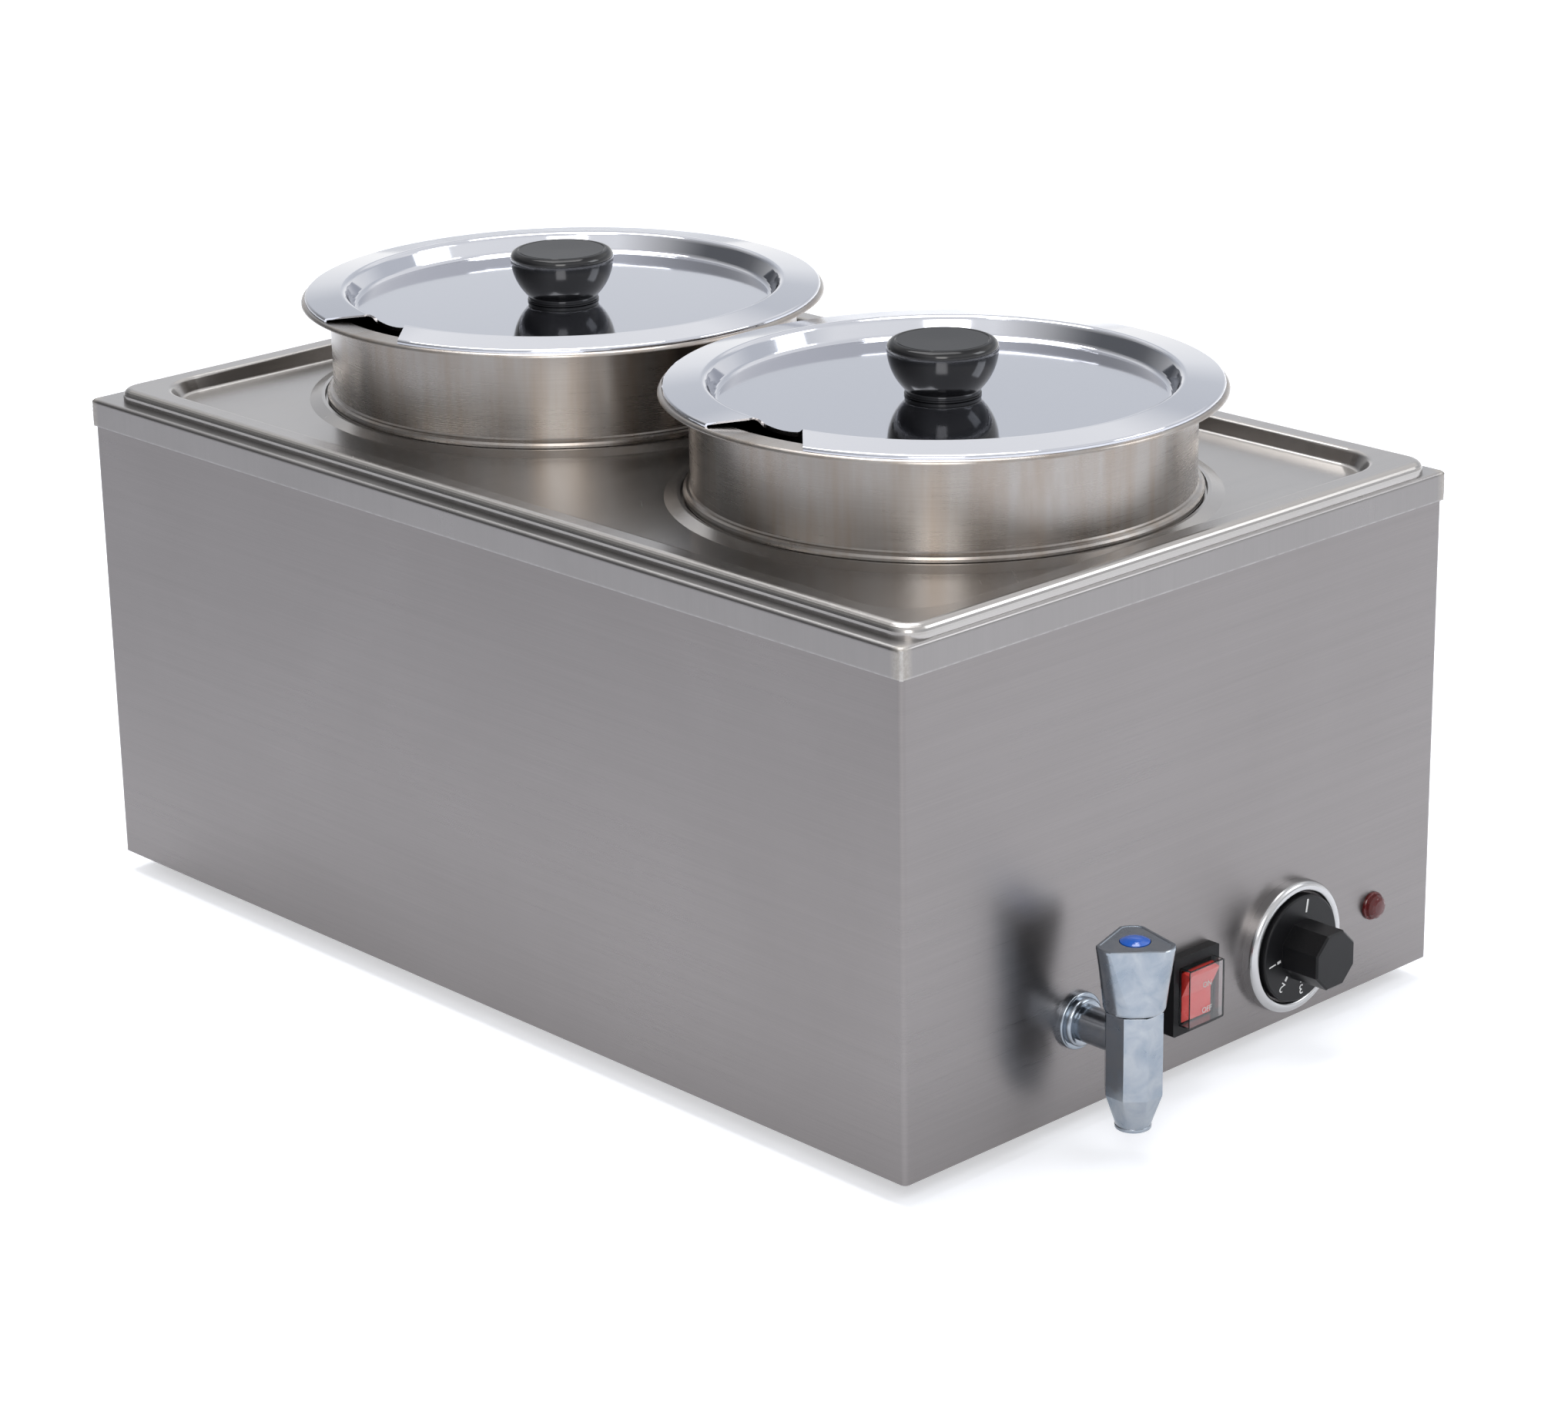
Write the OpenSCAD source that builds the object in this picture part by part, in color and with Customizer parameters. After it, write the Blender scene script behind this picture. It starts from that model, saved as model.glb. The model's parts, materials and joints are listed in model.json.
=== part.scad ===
// Two-pot wet-well bain marie: a heated water well with an adapter plate, two round pots, a drain tap
// and front controls. The front faces -Y, +X is to the right seen from the front, and +Z is up. The
// origin lies on the ground under the middle of the whole outline.

/* [Casing] */
// Outside width of the casing
casing_w = 336; // [330:1:380]
// Outside length of the casing from front to back
casing_l = 540; // [535:1:640]
// Height of the deck above the lower edge of the casing
casing_h = 229.5; // [222:0.5:300]
// Thickness of the casing sheet
casing_sheet = 0.8; // [0.6:0.1:1.2]
// Outside radius of the casing's upright corners
casing_corner_r = 2.5; // [1.5:0.5:5]
// Width of the lower edge that is folded inwards
return_w = 14; // [10:1:18]
// Height of the feet
foot_h = 10; // [8:1:25]
// Diameter of a foot
foot_d = 24; // [16:1:30]
// Distance of a foot's centre from the casing's sides
foot_inset = 34; // [32:1:60]

/* [Deck and well] */
// Thickness of the deck and well sheet
tank_sheet = 1; // [0.8:0.1:1.5]
// Width of the well's mouth
well_w = 305; // [290:1:308]
// Length of the well's mouth
well_l = 508; // [490:1:511]
// Depth of the well below the deck
well_depth = 150; // [145:1:152]
// Radius of the well's upright corners
well_corner_r = 24; // [22:1:30]
// Radius between the well's walls and its floor
well_floor_r = 16; // [10:1:18]
// Radius of the edge where the deck turns down into the well
well_lip_r = 4; // [3:0.5:6]
// How far the deck's skirt hangs down over the casing
skirt_drop = 13; // [8:1:20]
// Radius of the deck's outer edge
skirt_edge_r = 2; // [1.5:0.5:3]

/* [Adapter plate] */
// Width of the plate
plate_w = 325; // [320:1:328]
// Length of the plate
plate_l = 530; // [525:1:533]
// Thickness of the plate's sheet
plate_sheet = 1; // [0.7:0.1:1.2]
// Height of the plate's rim above the deck
plate_rim_h = 6; // [5:0.5:10]
// Radius of the plate's turned-down outer lip
plate_lip_r = 4; // [3:0.5:5]
// Width of the flat on the plate's rim
plate_rim_flat = 6.5; // [5:0.5:8]
// Radius of the plate's outer corners
plate_corner_r = 12; // [8:1:20]
// Radius of the recess's corners at the rim
plate_recess_r = 28; // [18:1:34]
// Depth of the plate's floor below the deck
plate_sink = 0.9; // [0.5:0.1:2]
// How far the plate lies forward of the well's middle
plate_push = 4; // [0:0.5:4]
// Distance between the two pots' centres
pot_pitch = 250; // [248:0.5:250]
// Height of the raised collar round a pot's hole
collar_h = 2; // [1.5:0.1:3]

/* [Pots] */
// Outside radius of a pot's wall
pot_r = 110; // [100:1:110]
// Thickness of a pot's sheet
pot_sheet = 0.8; // [0.6:0.1:1.2]
// How deep a pot hangs below its seat
pot_sunk = 130; // [80:1:135]
// Height of a pot's rim above its seat
pot_rise = 48.4; // [35:0.1:60]
// Radius between a pot's wall and its floor
pot_floor_r = 12; // [8:1:25]
// Width of a pot's rim outside its wall
pot_rim_w = 13.3; // [11:0.1:13.5]
// Radius of the shoulder bead that hangs in the plate
bead_r = 2.65; // [2.2:0.05:3]

/* [Lids] */
// Thickness of a lid's sheet
lid_sheet = 0.8; // [0.6:0.1:1]
// Height of a lid's crest above its edge
lid_h = 3.5; // [3:0.1:6]
// How far a lid's disc lies below its edge
lid_sink = 5.3; // [3:0.1:7]
// Width of the band from a lid's edge to its crest
lid_band_w = 17; // [15:0.5:18]
// Width of the ladle notch at its inner edge
notch_w = 32; // [20:1:40]
// Depth of the ladle notch from the lid's edge
notch_depth = 20.5; // [17:0.5:22]
// Direction of the front lid's notch
front_notch_turn = 183; // [0:1:359]
// Direction of the rear lid's notch
rear_notch_turn = 178; // [0:1:359]

/* [Knobs] */
// Height of a knob
knob_h = 24.2; // [20:0.2:30]
// Radius of a knob at its widest
knob_r = 24.3; // [22:0.1:30]
// Radius of a knob's neck
knob_neck_r = 16.8; // [12:0.1:18]

/* [Front panel] */
// Tap, to the right of the middle
tap_x = -66; // [-80:1:-50]
// Tap's pipe, above the casing's lower edge
tap_z = 41.8; // [40:0.1:46]
// Switch, to the right of the middle
switch_x = 3.4; // [-4:0.1:8]
// Switch, above the casing's lower edge
switch_z = 35; // [30:1:38]
// Thermostat dial, to the right of the middle
dial_x = 69; // [64:1:76]
// Thermostat dial, above the casing's lower edge
dial_z = 35.5; // [33:0.5:38]
// Lamp, to the right of the middle
lamp_x = 127.5; // [120:0.5:135]
// Lamp, above the casing's lower edge
lamp_z = 36.5; // [30:0.5:45]

/* [Tap] */
// Distance of the tap's upright axis from the panel
tap_reach = 31.5; // [30:0.5:45]
// Width across the flats of the eight-sided body
tap_body_af = 23.4; // [22:0.2:24]
// Outside radius of the tap's pipe
tap_pipe_r = 7.9; // [7:0.1:8.2]
// Height of the nozzle's mouth above the casing's lower edge
nozzle_z = 3.5; // [0:0.5:8]
// Radius of the nozzle's bore
nozzle_bore_r = 4.5; // [3.5:0.1:5]
// Height of the handle's head
handle_h = 29.5; // [27:0.5:40]
// Radius of the handle's head at its three corners
handle_r = 17.5; // [16:0.5:20]
// Turn of the handle's head when the tap is shut
handle_turn = 17; // [0:1:29]

/* [Dial] */
// Radius of the dial's skirt
dial_r = 24.2; // [22:0.2:24.4]
// Distance of the dial's skirt face from the panel
dial_face = 8; // [7:0.5:10]
// Distance of the dial's grip end from the panel
dial_reach = 27.5; // [26:0.5:36]
// Width across the flats of the dial's eight-sided grip
grip_af = 25.2; // [20:0.2:28]
// Outside radius of the dial's bright ring
ring_r = 30; // [30:0.5:34]

/* [Switch] */
// Width of the switch's frame
switch_w = 29; // [28:0.5:32]
// Height of the switch's frame
switch_h = 35.4; // [34.4:0.1:38]
// How far the switch's frame stands off the panel
switch_proud = 5; // [4:0.5:6]
// How far the clear cover stands off the frame
cover_proud = 6; // [6:0.5:8]

/* [Cable inlet] */
// Radius of the gland's bore for the cable
gland_bore_r = 4; // [3:0.1:4.5]
// Cable inlet, to the right of the middle
gland_x = 112; // [90:1:122]
// Cable inlet, above the casing's lower edge
gland_z = 35; // [28:1:45]

/* [Hidden] */
// Rest gap between curved faces, running gap of a shaft, easy gap of a thing let into a hole
seat_gap = 0.3;
run_gap = 0.05;
loose_gap = 0.5;
// How far a cut runs past the face that it opens, and how far joined stretches of one piece lap
over = 1;
lap = 1;
// Steps of a drawn round, and facets of a hull's rounds
arc_steps = 6;
hull_facets = 32;
$fn = 96;

// Small fasteners: heads, sockets, nuts and their holes
screw_head_share = 1.9;
screw_head_h_share = 1.2;
screw_edge_share = 0.7;
cross_l_share = 2;
cross_w_share = 0.45;
cross_depth_share = 0.6;
driver_share = 0.9;
screw_gap = 0.4;
base_screw_r = 2;
base_screw_tail = 4;
foot_screw_r = 2.5;
foot_nut_af = 8;
foot_nut_h = 4;
panel_screw_r = 1.9;
panel_screw_l = 7;
thread_end = 1;
stud_r = 2.5;
stud_nut_af = 8;
stud_nut_h = 4;

// Base plate and feet
base_sheet = 1;
base_screw_pitch_share = 0.36;
vent_w = 4;
vent_l = 60;
vent_pitch = 12;
vent_count = 9;
vent_rows_share = 0.22;
foot_top_r_share = 0.86;
foot_recess_share = 0.45;
foot_edge_share = 0.15;

// Deck
skirt_gap = 0.2;
deck_w = casing_w + 2 * (skirt_gap + tank_sheet);
deck_l = casing_l + 2 * (skirt_gap + tank_sheet);
deck_corner_r = skirt_edge_r + lap + run_gap;

// Adapter plate: the slope into its recess and the collars
recess_turn = 60;
recess_bend_r = 2.5;
recess_drop = plate_rim_h + plate_sink;
recess_run = 2 * recess_bend_r * sin(recess_turn)
    + (recess_drop - 2 * recess_bend_r * (1 - cos(recess_turn))) / tan(recess_turn);
recess_w = plate_w - 2 * (plate_lip_r + plate_rim_flat);
recess_l = plate_l - 2 * (plate_lip_r + plate_rim_flat);
hole_gap = 1;
bead_gap = 0.6;
bead_step = 0.65;
collar_crest_w = 1.5;
collar_lean = 0.5;
collar_slope_w = 5.7;
collar_in_r = pot_r + bead_step + bead_r + bead_gap;
collar_out_r = collar_in_r + collar_lean + collar_crest_w + collar_slope_w;

// Pots' rims, lids and knobs
rim_bend_r = 2.5;
rim_lip_r = 1;
lid_r = pot_r + pot_rim_w - rim_lip_r - pot_sheet;
lid_edge_r = 1.2;
lid_edge_turn = 80;
lid_crest_r = 3;
lid_foot_r = 3;
lid_slope_turn = 65;
lid_drop = lid_h + lid_sink;
lid_bends_r = lid_crest_r + lid_foot_r;
lid_slope_run = lid_bends_r * sin(lid_slope_turn)
    + (lid_drop - lid_bends_r * (1 - cos(lid_slope_turn))) / tan(lid_slope_turn);
lid_screw_r = 2.5;
notch_corner_r = 7;
notch_flare = 28;
knob_base_share = 0.04;
knob_waist_share = 0.125;
knob_wide_share = 0.87;
knob_top_r_share = 0.83;
knob_bore_share = 0.6;

// Tap
body_gap = 0.3;
shoulder_h = 6.8;
handle_corner_r = 9.5;
handle_out = handle_r - handle_corner_r;
handle_foot_out = 3.5;
handle_foot_r = 9.2;
handle_top_edge = 1;
handle_foot_edge = 1;
valve_r = 7.4;
seat_drop = 1.5;
plug_lap = 1;
plug_port_r = nozzle_bore_r;
taper_h = 16;
nozzle_wall = 3.2;
nozzle_lip_h = 1.5;
nozzle_step = 0.4;
spindle_r = 3;
bonnet_r = 9.5;
bonnet_flange_h = 2;
bonnet_neck_r = 6.4;
bonnet_h = 6;
button_r = 6.35;
button_h = 1.8;
button_let_in = 3;
handle_screw_r = 2;
handle_screw_drop = 6;
handle_screw_l = 12;
spindle_drop = 11;
escutcheon_r = 12.5;
escutcheon_step_r = 10.6;
escutcheon_h = 2.6;
escutcheon_step_h = 5.4;
escutcheon_edge_r = 0.9;
gasket_h = 1.5;
seal_inset = 1;
gasket_r = 12;
locknut_af = 23;
locknut_h = 6;
tail_l = 16;

// Drain: the outlet in the well's floor and the bent pipe down to the tap
drain_r = 10;
drain_gap = 0.4;
drain_back = 62;
drain_flange_r = 15;
drain_flange_h = 2;
drain_tail = 18;
drain_socket = 8;
drain_bend_r = 16;
drain_nut_af = 27;
drain_nut_h = 5;
sleeve_r = 11;
sleeve_l = 12;

// Heater under the well: the bent element, its clamp plate, studs and blanket
heater_r = 4.1;
heater_bend_r = 30;
heater_legs = 4;
heater_front = 95;
heater_rear = 60;
pin_r = 1.8;
pin_l = 10;
clamp_sheet = 1.5;
clamp_margin = 28;
clamp_front = 22;
clamp_corner_r = 12;
stud_rows_share = 0.28;
stud_side_share = 0.667;
blanket_h = 9;
blanket_hole_r = 9;
blanket_inset = 1;
bulb_r = 3;
bulb_l = 90;
bulb_out = 24;
capillary_r = 0.9;
capillary_back = 88;
capillary_z = 52;
cutout_r = 8;
cutout_h = 5;
cutout_gap = 2;
cutout_back = 150;

// Thermostat and dial
thermostat_w = 42;
thermostat_h = 34;
thermostat_depth = 28;
thermostat_plate_h = 1.5;
thermostat_inset = 2;
thermostat_edge_r = 2;
bushing_r = 5;
bushing_proud = 2.5;
shaft_r = 3;
shaft_flat_share = 0.5;
screw_pitch = 28;
dial_hole_gap = 0.4;
dial_clear = 3.2;
dial_edge_r = 0.8;
grip_edge = 0.8;
shaft_let_in = 15;
ring_in_gap = 1;
ring_h = 6.5;
ring_out_edge_r = 2.8;
ring_in_edge_r = 1.6;
tab_w = 6.3;
tab_t = 0.8;
tab_l = 8;

// Switch
frame_edge_r = 1;
pocket_w = 18.6;
pocket_h = 25;
pocket_depth = 12;
switch_body_gap = 0.3;
switch_body_inset = 2.4;
switch_body_w = switch_w - 2 * switch_body_inset;
switch_body_h = switch_h - 2 * switch_body_inset;
switch_body_depth = 24;
rocker_gap = 0.4;
rocker_end_gap = 1.1;
rocker_tilt = 12;
rocker_edge = 1.5;
rocker_back_share = 0.65;
rocker_back_depth = 4;
pivot_depth = 2;
pivot_r = 1.25;
pivot_l = 1.5;
cover_w = 22.3;
cover_h = 27;
cover_wall = 0.8;
cover_corner_r = 1.2;

// Lamp
lamp_r = 6.5;
lamp_proud = 5;
lamp_band_share = 0.33;
lamp_top_share = 0.5;
lamp_turn = 60;
lamp_body_r = 4.8;
lamp_body_l = 20;
lamp_hole_r = 5;
lamp_nut_af = 13;
lamp_nut_h = 3;

// Cable gland, terminal block and earth point
gland_reach = 18;
gland_thread_r = 8;
gland_thread_l = 10;
gland_hex_af = 20;
gland_hex_h = 6;
gland_dome_r = 8.6;
gland_dome_top_r = 6;
gland_dome_share = 0.67;
gland_nut_af = 22;
gland_nut_h = 4;
block_w = 44;
block_l = 20;
block_h = 17;
block_poles = 4;
block_back = 60;
block_x = 60;
block_hole_r = 2.2;
block_screw_r = 1.6;
block_screw_drop = 1;
earth_x = 132;
earth_back = 70;
earth_h = 14;

// Places that follow from the sizes
front_reach = tap_reach + handle_out * sin(90 - handle_turn) + handle_corner_r;
body_y = (front_reach - gland_reach) / 2;
front_y = body_y - casing_l / 2;
rear_y = body_y + casing_l / 2;
base_top = foot_h + casing_sheet + base_sheet;
deck_z = foot_h + casing_h;
plate_y = body_y - plate_push;
pot_seat_z = deck_z - plate_sink;
pot_rim_z = pot_seat_z + pot_rise;
pot_y = [plate_y - pot_pitch / 2, plate_y + pot_pitch / 2];
lid_disc_z = pot_rim_z - lid_sink;
tank_under_z = deck_z - well_depth - tank_sheet;
tap_y = front_y - tap_reach;
tap_top_z = foot_h + tap_z + tap_pipe_r + shoulder_h;
handle_z = tap_top_z + body_gap;
handle_top_z = handle_z + handle_h;
valve_seat_z = foot_h + tap_z - nozzle_bore_r - seat_drop;
plug_top_z = foot_h + tap_z + nozzle_bore_r + plug_lap;
drain_y = front_y + drain_back;
heater_z = tank_under_z - seat_gap - heater_r;
clamp_top_z = heater_z - heater_r - seat_gap;
clamp_z = clamp_top_z - clamp_sheet;
heater_half_w = heater_bend_r * (heater_legs - 1);
heater_y0 = front_y + heater_front + heater_bend_r;
heater_y1 = rear_y - heater_rear - heater_bend_r;
heater_mid_y = (heater_y0 + heater_y1) / 2;
bulb_x = -heater_half_w - bulb_out;
foot_screw_seat = foot_h * foot_recess_share;

// Points of an arc, of a path's side at a distance, and of the closed outline of a bent sheet
function on_circle(c, r, a) = c + r * [cos(a), sin(a)];
function arc(c, r, a0, a1) =
    [for (i = [0:arc_steps]) on_circle(c, r, a0 + (a1 - a0) * i / arc_steps)];
function leg(p, i) = (p[i + 1] - p[i]) / norm(p[i + 1] - p[i]);
function beside(p, i, t) =
    let (m = leg(p, max(i - 1, 0)) + leg(p, min(i, len(p) - 2)))
    p[i] + 2 * t / (m * m) * [-m[1], m[0]];
function sheet(p, t) = concat(p, [for (i = [len(p) - 1:-1:0]) beside(p, i, t)]);

module rounded_rect(w, l, r) {
    square([w - 2 * r, l], center = true);
    square([w, l - 2 * r], center = true);
    for (x = [-1, 1], y = [-1, 1])
        translate([x * (w / 2 - r), y * (l / 2 - r)]) circle(r);
}

// Sweeps a profile round a rounded rectangle: its x is the distance outside the outline, its y the height
module round_frame(w, l, r) {
    for (i = [0:3]) {
        a = i % 2 == 0 ? w : l;
        b = i % 2 == 0 ? l : w;
        rotate(90 * i) {
            translate([a / 2, b / 2 - r, 0]) rotate([90, 0, 0]) linear_extrude(b - 2 * r) children();
            translate([a / 2 - r, b / 2 - r, 0]) rotate_extrude(angle = 90) translate([r, 0]) children();
        }
    }
}

// Turns a part's +Z to the front, its origin on the panel at a place to the right and above the casing's edge
module on_front(x, z) {
    translate([x, front_y, foot_h + z]) rotate([90, 0, 0]) children();
}

module ring(r_out, r_in, h) {
    difference() {
        cylinder(r = r_out, h = h);
        translate([0, 0, -over]) cylinder(r = r_in, h = h + 2 * over);
    }
}

module hex_nut(af, bore, h) {
    difference() {
        cylinder(d = af / cos(30), h = h, $fn = 6);
        translate([0, 0, -over]) cylinder(r = bore, h = h + 2 * over);
    }
}

// Pan-head screw with its head's seat at zero, its shank pointing up and a cross recess
module pan_screw(shank_r, length) {
    head_r = shank_r * screw_head_share;
    head_h = shank_r * screw_head_h_share;
    edge = head_h * screw_edge_share;
    cross_l = shank_r * cross_l_share;
    cross_w = shank_r * cross_w_share;
    difference() {
        union() {
            cylinder(r = shank_r, h = length);
            rotate_extrude() polygon(concat([[0, -head_h], [0, 0], [head_r, 0]],
                arc([head_r - edge, edge - head_h], edge, 0, -90)));
        }
        for (turn = [0, 90])
            rotate(turn) translate([-cross_l / 2, -cross_w / 2, -head_h - over])
                cube([cross_l, cross_w, over + head_h * cross_depth_share]);
    }
}

// Round wire along a list of points, with a ball at each bend
module wire(points, r) {
    for (i = [0:len(points) - 2]) {
        d = points[i + 1] - points[i];
        translate(points[i]) rotate([0, acos(d[2] / norm(d)), atan2(d[1], d[0])])
            cylinder(r = r, h = norm(d));
        if (i > 0) translate(points[i]) sphere(r);
    }
}

// Casing: one wrapped sheet with an inward return at its lower edge and the cut-outs of both ends
module casing() {
    color("lightsteelblue") difference() {
        translate([0, body_y, foot_h]) difference() {
            linear_extrude(casing_h - skirt_edge_r) rounded_rect(casing_w, casing_l, casing_corner_r);
            translate([0, 0, casing_sheet]) linear_extrude(casing_h)
                rounded_rect(casing_w - 2 * casing_sheet, casing_l - 2 * casing_sheet,
                    casing_corner_r - casing_sheet);
            translate([0, 0, -over]) linear_extrude(casing_h)
                square([casing_w - 2 * return_w, casing_l - 2 * return_w], center = true);
            base_screw_places() translate([0, 0, -over])
                cylinder(r = base_screw_r + screw_gap, h = casing_sheet + 2 * over);
        }
        panel_cut(tap_x, tap_z) circle(tap_pipe_r + screw_gap);
        panel_cut(switch_x, switch_z)
            square([switch_body_w + 2 * switch_body_gap, switch_body_h + 2 * switch_body_gap], center = true);
        panel_cut(dial_x, dial_z) {
            circle(bushing_r + dial_hole_gap);
            for (s = [-1, 1])
                translate([s * screw_pitch / 2, 0]) circle(panel_screw_r + screw_gap);
        }
        panel_cut(lamp_x, lamp_z) circle(lamp_hole_r);
        translate([gland_x, rear_y + over, foot_h + gland_z]) rotate([90, 0, 0])
            cylinder(r = gland_thread_r + screw_gap, h = 2 * over + casing_sheet);
    }
}

module panel_cut(x, z) {
    on_front(x, z) translate([0, 0, -over - casing_sheet]) linear_extrude(2 * over + casing_sheet) children();
}

// Base plate: a flat sheet on the casing's returns, with vents and the holes for its screws and feet
module base_screw_places() {
    for (x = [-1, 1], y = [-1, 0, 1])
        translate([x * (casing_w - return_w) / 2, y * casing_l * base_screw_pitch_share, 0]) children();
}

module foot_places() {
    for (x = [-1, 1], y = [-1, 1])
        translate([x * (casing_w / 2 - foot_inset), body_y + y * (casing_l / 2 - foot_inset), 0]) children();
}

module base_plate() {
    w = casing_w - 2 * casing_sheet - 2 * loose_gap;
    l = casing_l - 2 * casing_sheet - 2 * loose_gap;
    color("gainsboro") difference() {
        translate([0, body_y, foot_h + casing_sheet]) difference() {
            linear_extrude(base_sheet) rounded_rect(w, l, casing_corner_r);
            base_screw_places() translate([0, 0, -over])
                cylinder(r = base_screw_r + run_gap, h = base_sheet + 2 * over);
            for (row = [-1, 1], i = [0:vent_count - 1])
                translate([(i - (vent_count - 1) / 2) * vent_pitch, row * casing_l * vent_rows_share, -over])
                    linear_extrude(base_sheet + 2 * over) rounded_rect(vent_w, vent_l, vent_w / 2 - run_gap);
        }
        foot_places() cylinder(r = foot_screw_r + screw_gap, h = base_top + over);
    }
}

module base_screws() {
    color("silver") translate([0, body_y, foot_h]) base_screw_places()
        pan_screw(base_screw_r, casing_sheet + base_sheet + base_screw_tail);
}

// Feet: turned rubber feet under the base plate, each with a recess for its screw
module feet() {
    top = foot_h + casing_sheet;
    hole = foot_screw_r + screw_gap;
    edge = foot_d / 2 * foot_edge_share;
    color("#1c1c1e") foot_places() rotate_extrude() polygon(concat(
        [[hole, top], [hole, foot_screw_seat], [foot_d / 4, foot_screw_seat], [foot_d / 4, 0]],
        arc([foot_d / 2 - edge, edge], edge, -90, 0),
        [[foot_d / 2 * foot_top_r_share, top]]));
}

module foot_screws() {
    color("silver") foot_places() translate([0, 0, foot_screw_seat]) difference() {
        union() {
            translate([0, 0, -foot_screw_r]) cylinder(r = foot_screw_r * screw_head_share, h = foot_screw_r);
            cylinder(r = foot_screw_r, h = base_top + foot_nut_h + thread_end - foot_screw_seat);
        }
        translate([0, 0, -foot_screw_r - over])
            cylinder(r = foot_screw_r * driver_share, h = over + foot_screw_r / 2, $fn = 6);
    }
}

module foot_nuts() {
    color("silver") foot_places() translate([0, 0, base_top])
        hex_nut(foot_nut_af, foot_screw_r + run_gap, foot_nut_h);
}

// Deck and well: one drawn and welded sheet, with a skirt outside the casing
module deck_and_well() {
    skirt_path = concat([[-skirt_edge_r - lap, 0]], arc([-skirt_edge_r, -skirt_edge_r], skirt_edge_r, 90, 0),
        [[0, -skirt_drop]]);
    well_path = concat([[well_lip_r + lap, 0]], arc([well_lip_r, -well_lip_r], well_lip_r, 90, 180),
        arc([-well_floor_r, -well_depth + well_floor_r], well_floor_r, 0, -90),
        [[-well_floor_r - lap, -well_depth]]);
    color("lightsteelblue") translate([0, body_y, deck_z]) difference() {
        union() {
            round_frame(deck_w, deck_l, deck_corner_r) polygon(sheet(skirt_path, -tank_sheet));
            round_frame(well_w, well_l, well_corner_r) polygon(sheet(well_path, tank_sheet));
            translate([0, 0, -tank_sheet]) linear_extrude(tank_sheet) difference() {
                square([deck_w - 2 * skirt_edge_r - lap, deck_l - 2 * skirt_edge_r - lap], center = true);
                rounded_rect(well_w + 2 * well_lip_r + lap, well_l + 2 * well_lip_r + lap,
                    well_corner_r + well_lip_r);
            }
            translate([0, 0, -well_depth - tank_sheet]) linear_extrude(tank_sheet)
                rounded_rect(well_w - 2 * well_floor_r - lap, well_l - 2 * well_floor_r - lap,
                    well_corner_r - well_floor_r);
        }
        translate([tap_x, drain_y - body_y, -well_depth - tank_sheet - over])
            cylinder(r = drain_r + drain_gap, h = tank_sheet + 2 * over);
    }
}

// Adapter plate: raised rim, sunk floor and a raised collar round each pot's hole
module adapter_plate() {
    lip_path = concat([[0, -plate_rim_h]], arc([-plate_lip_r, -plate_lip_r], plate_lip_r, 0, 90),
        [[-plate_lip_r - lap, 0]]);
    slope_path = concat([[lap, 0]],
        arc([0, -recess_bend_r], recess_bend_r, 90, 90 + recess_turn),
        arc([-recess_run, -recess_drop + recess_bend_r], recess_bend_r, recess_turn - 90, -90),
        [[-recess_run - lap, -recess_drop]]);
    collar_path = [[collar_out_r + lap, 0], [collar_out_r, 0], [collar_out_r - collar_slope_w, collar_h],
        [collar_in_r + collar_lean, collar_h], [collar_in_r, 0], [pot_r + hole_gap, 0]];
    color("silver") translate([0, plate_y, 0]) {
        translate([0, 0, deck_z + plate_rim_h]) {
            round_frame(plate_w, plate_l, plate_corner_r) polygon(sheet(lip_path, plate_sheet));
            round_frame(recess_w, recess_l, plate_recess_r) polygon(sheet(slope_path, plate_sheet));
            translate([0, 0, -plate_sheet]) linear_extrude(plate_sheet) difference() {
                rounded_rect(plate_w - 2 * plate_lip_r - lap, plate_l - 2 * plate_lip_r - lap,
                    plate_corner_r - plate_lip_r);
                rounded_rect(recess_w + lap, recess_l + lap, plate_recess_r);
            }
        }
        translate([0, 0, pot_seat_z - plate_sheet]) linear_extrude(plate_sheet) difference() {
            rounded_rect(recess_w - 2 * recess_run - lap, recess_l - 2 * recess_run - lap,
                plate_recess_r - recess_run);
            for (s = [-1, 1])
                translate([0, s * pot_pitch / 2]) circle(collar_out_r + lap / 2);
        }
        for (s = [-1, 1])
            translate([0, s * pot_pitch / 2, pot_seat_z])
                rotate_extrude() polygon(sheet(collar_path, plate_sheet));
    }
}

// Pots: spun shells with a shoulder bead, hung by the bead in the plate's collars
module pot(y) {
    rim_r = pot_r + pot_rim_w;
    rim_under = pot_rise - pot_sheet;
    path = concat([[0, -pot_sunk]],
        arc([pot_r - pot_floor_r, -pot_sunk + pot_floor_r], pot_floor_r, -90, 0),
        [[pot_r, 0]],
        arc([pot_r + bead_step, bead_r], bead_r, -60, 90),
        [[pot_r, 2 * bead_r + bead_step]],
        arc([pot_r + rim_bend_r, rim_under - rim_bend_r], rim_bend_r, 180, 90),
        arc([rim_r - rim_lip_r - pot_sheet, rim_under - rim_lip_r], rim_lip_r, 90, 0));
    color("silver") translate([0, y, pot_seat_z]) rotate_extrude() polygon(sheet(path, pot_sheet));
}

module pot_front() {
    pot(pot_y[0]);
}

module pot_rear() {
    pot(pot_y[1]);
}

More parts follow.
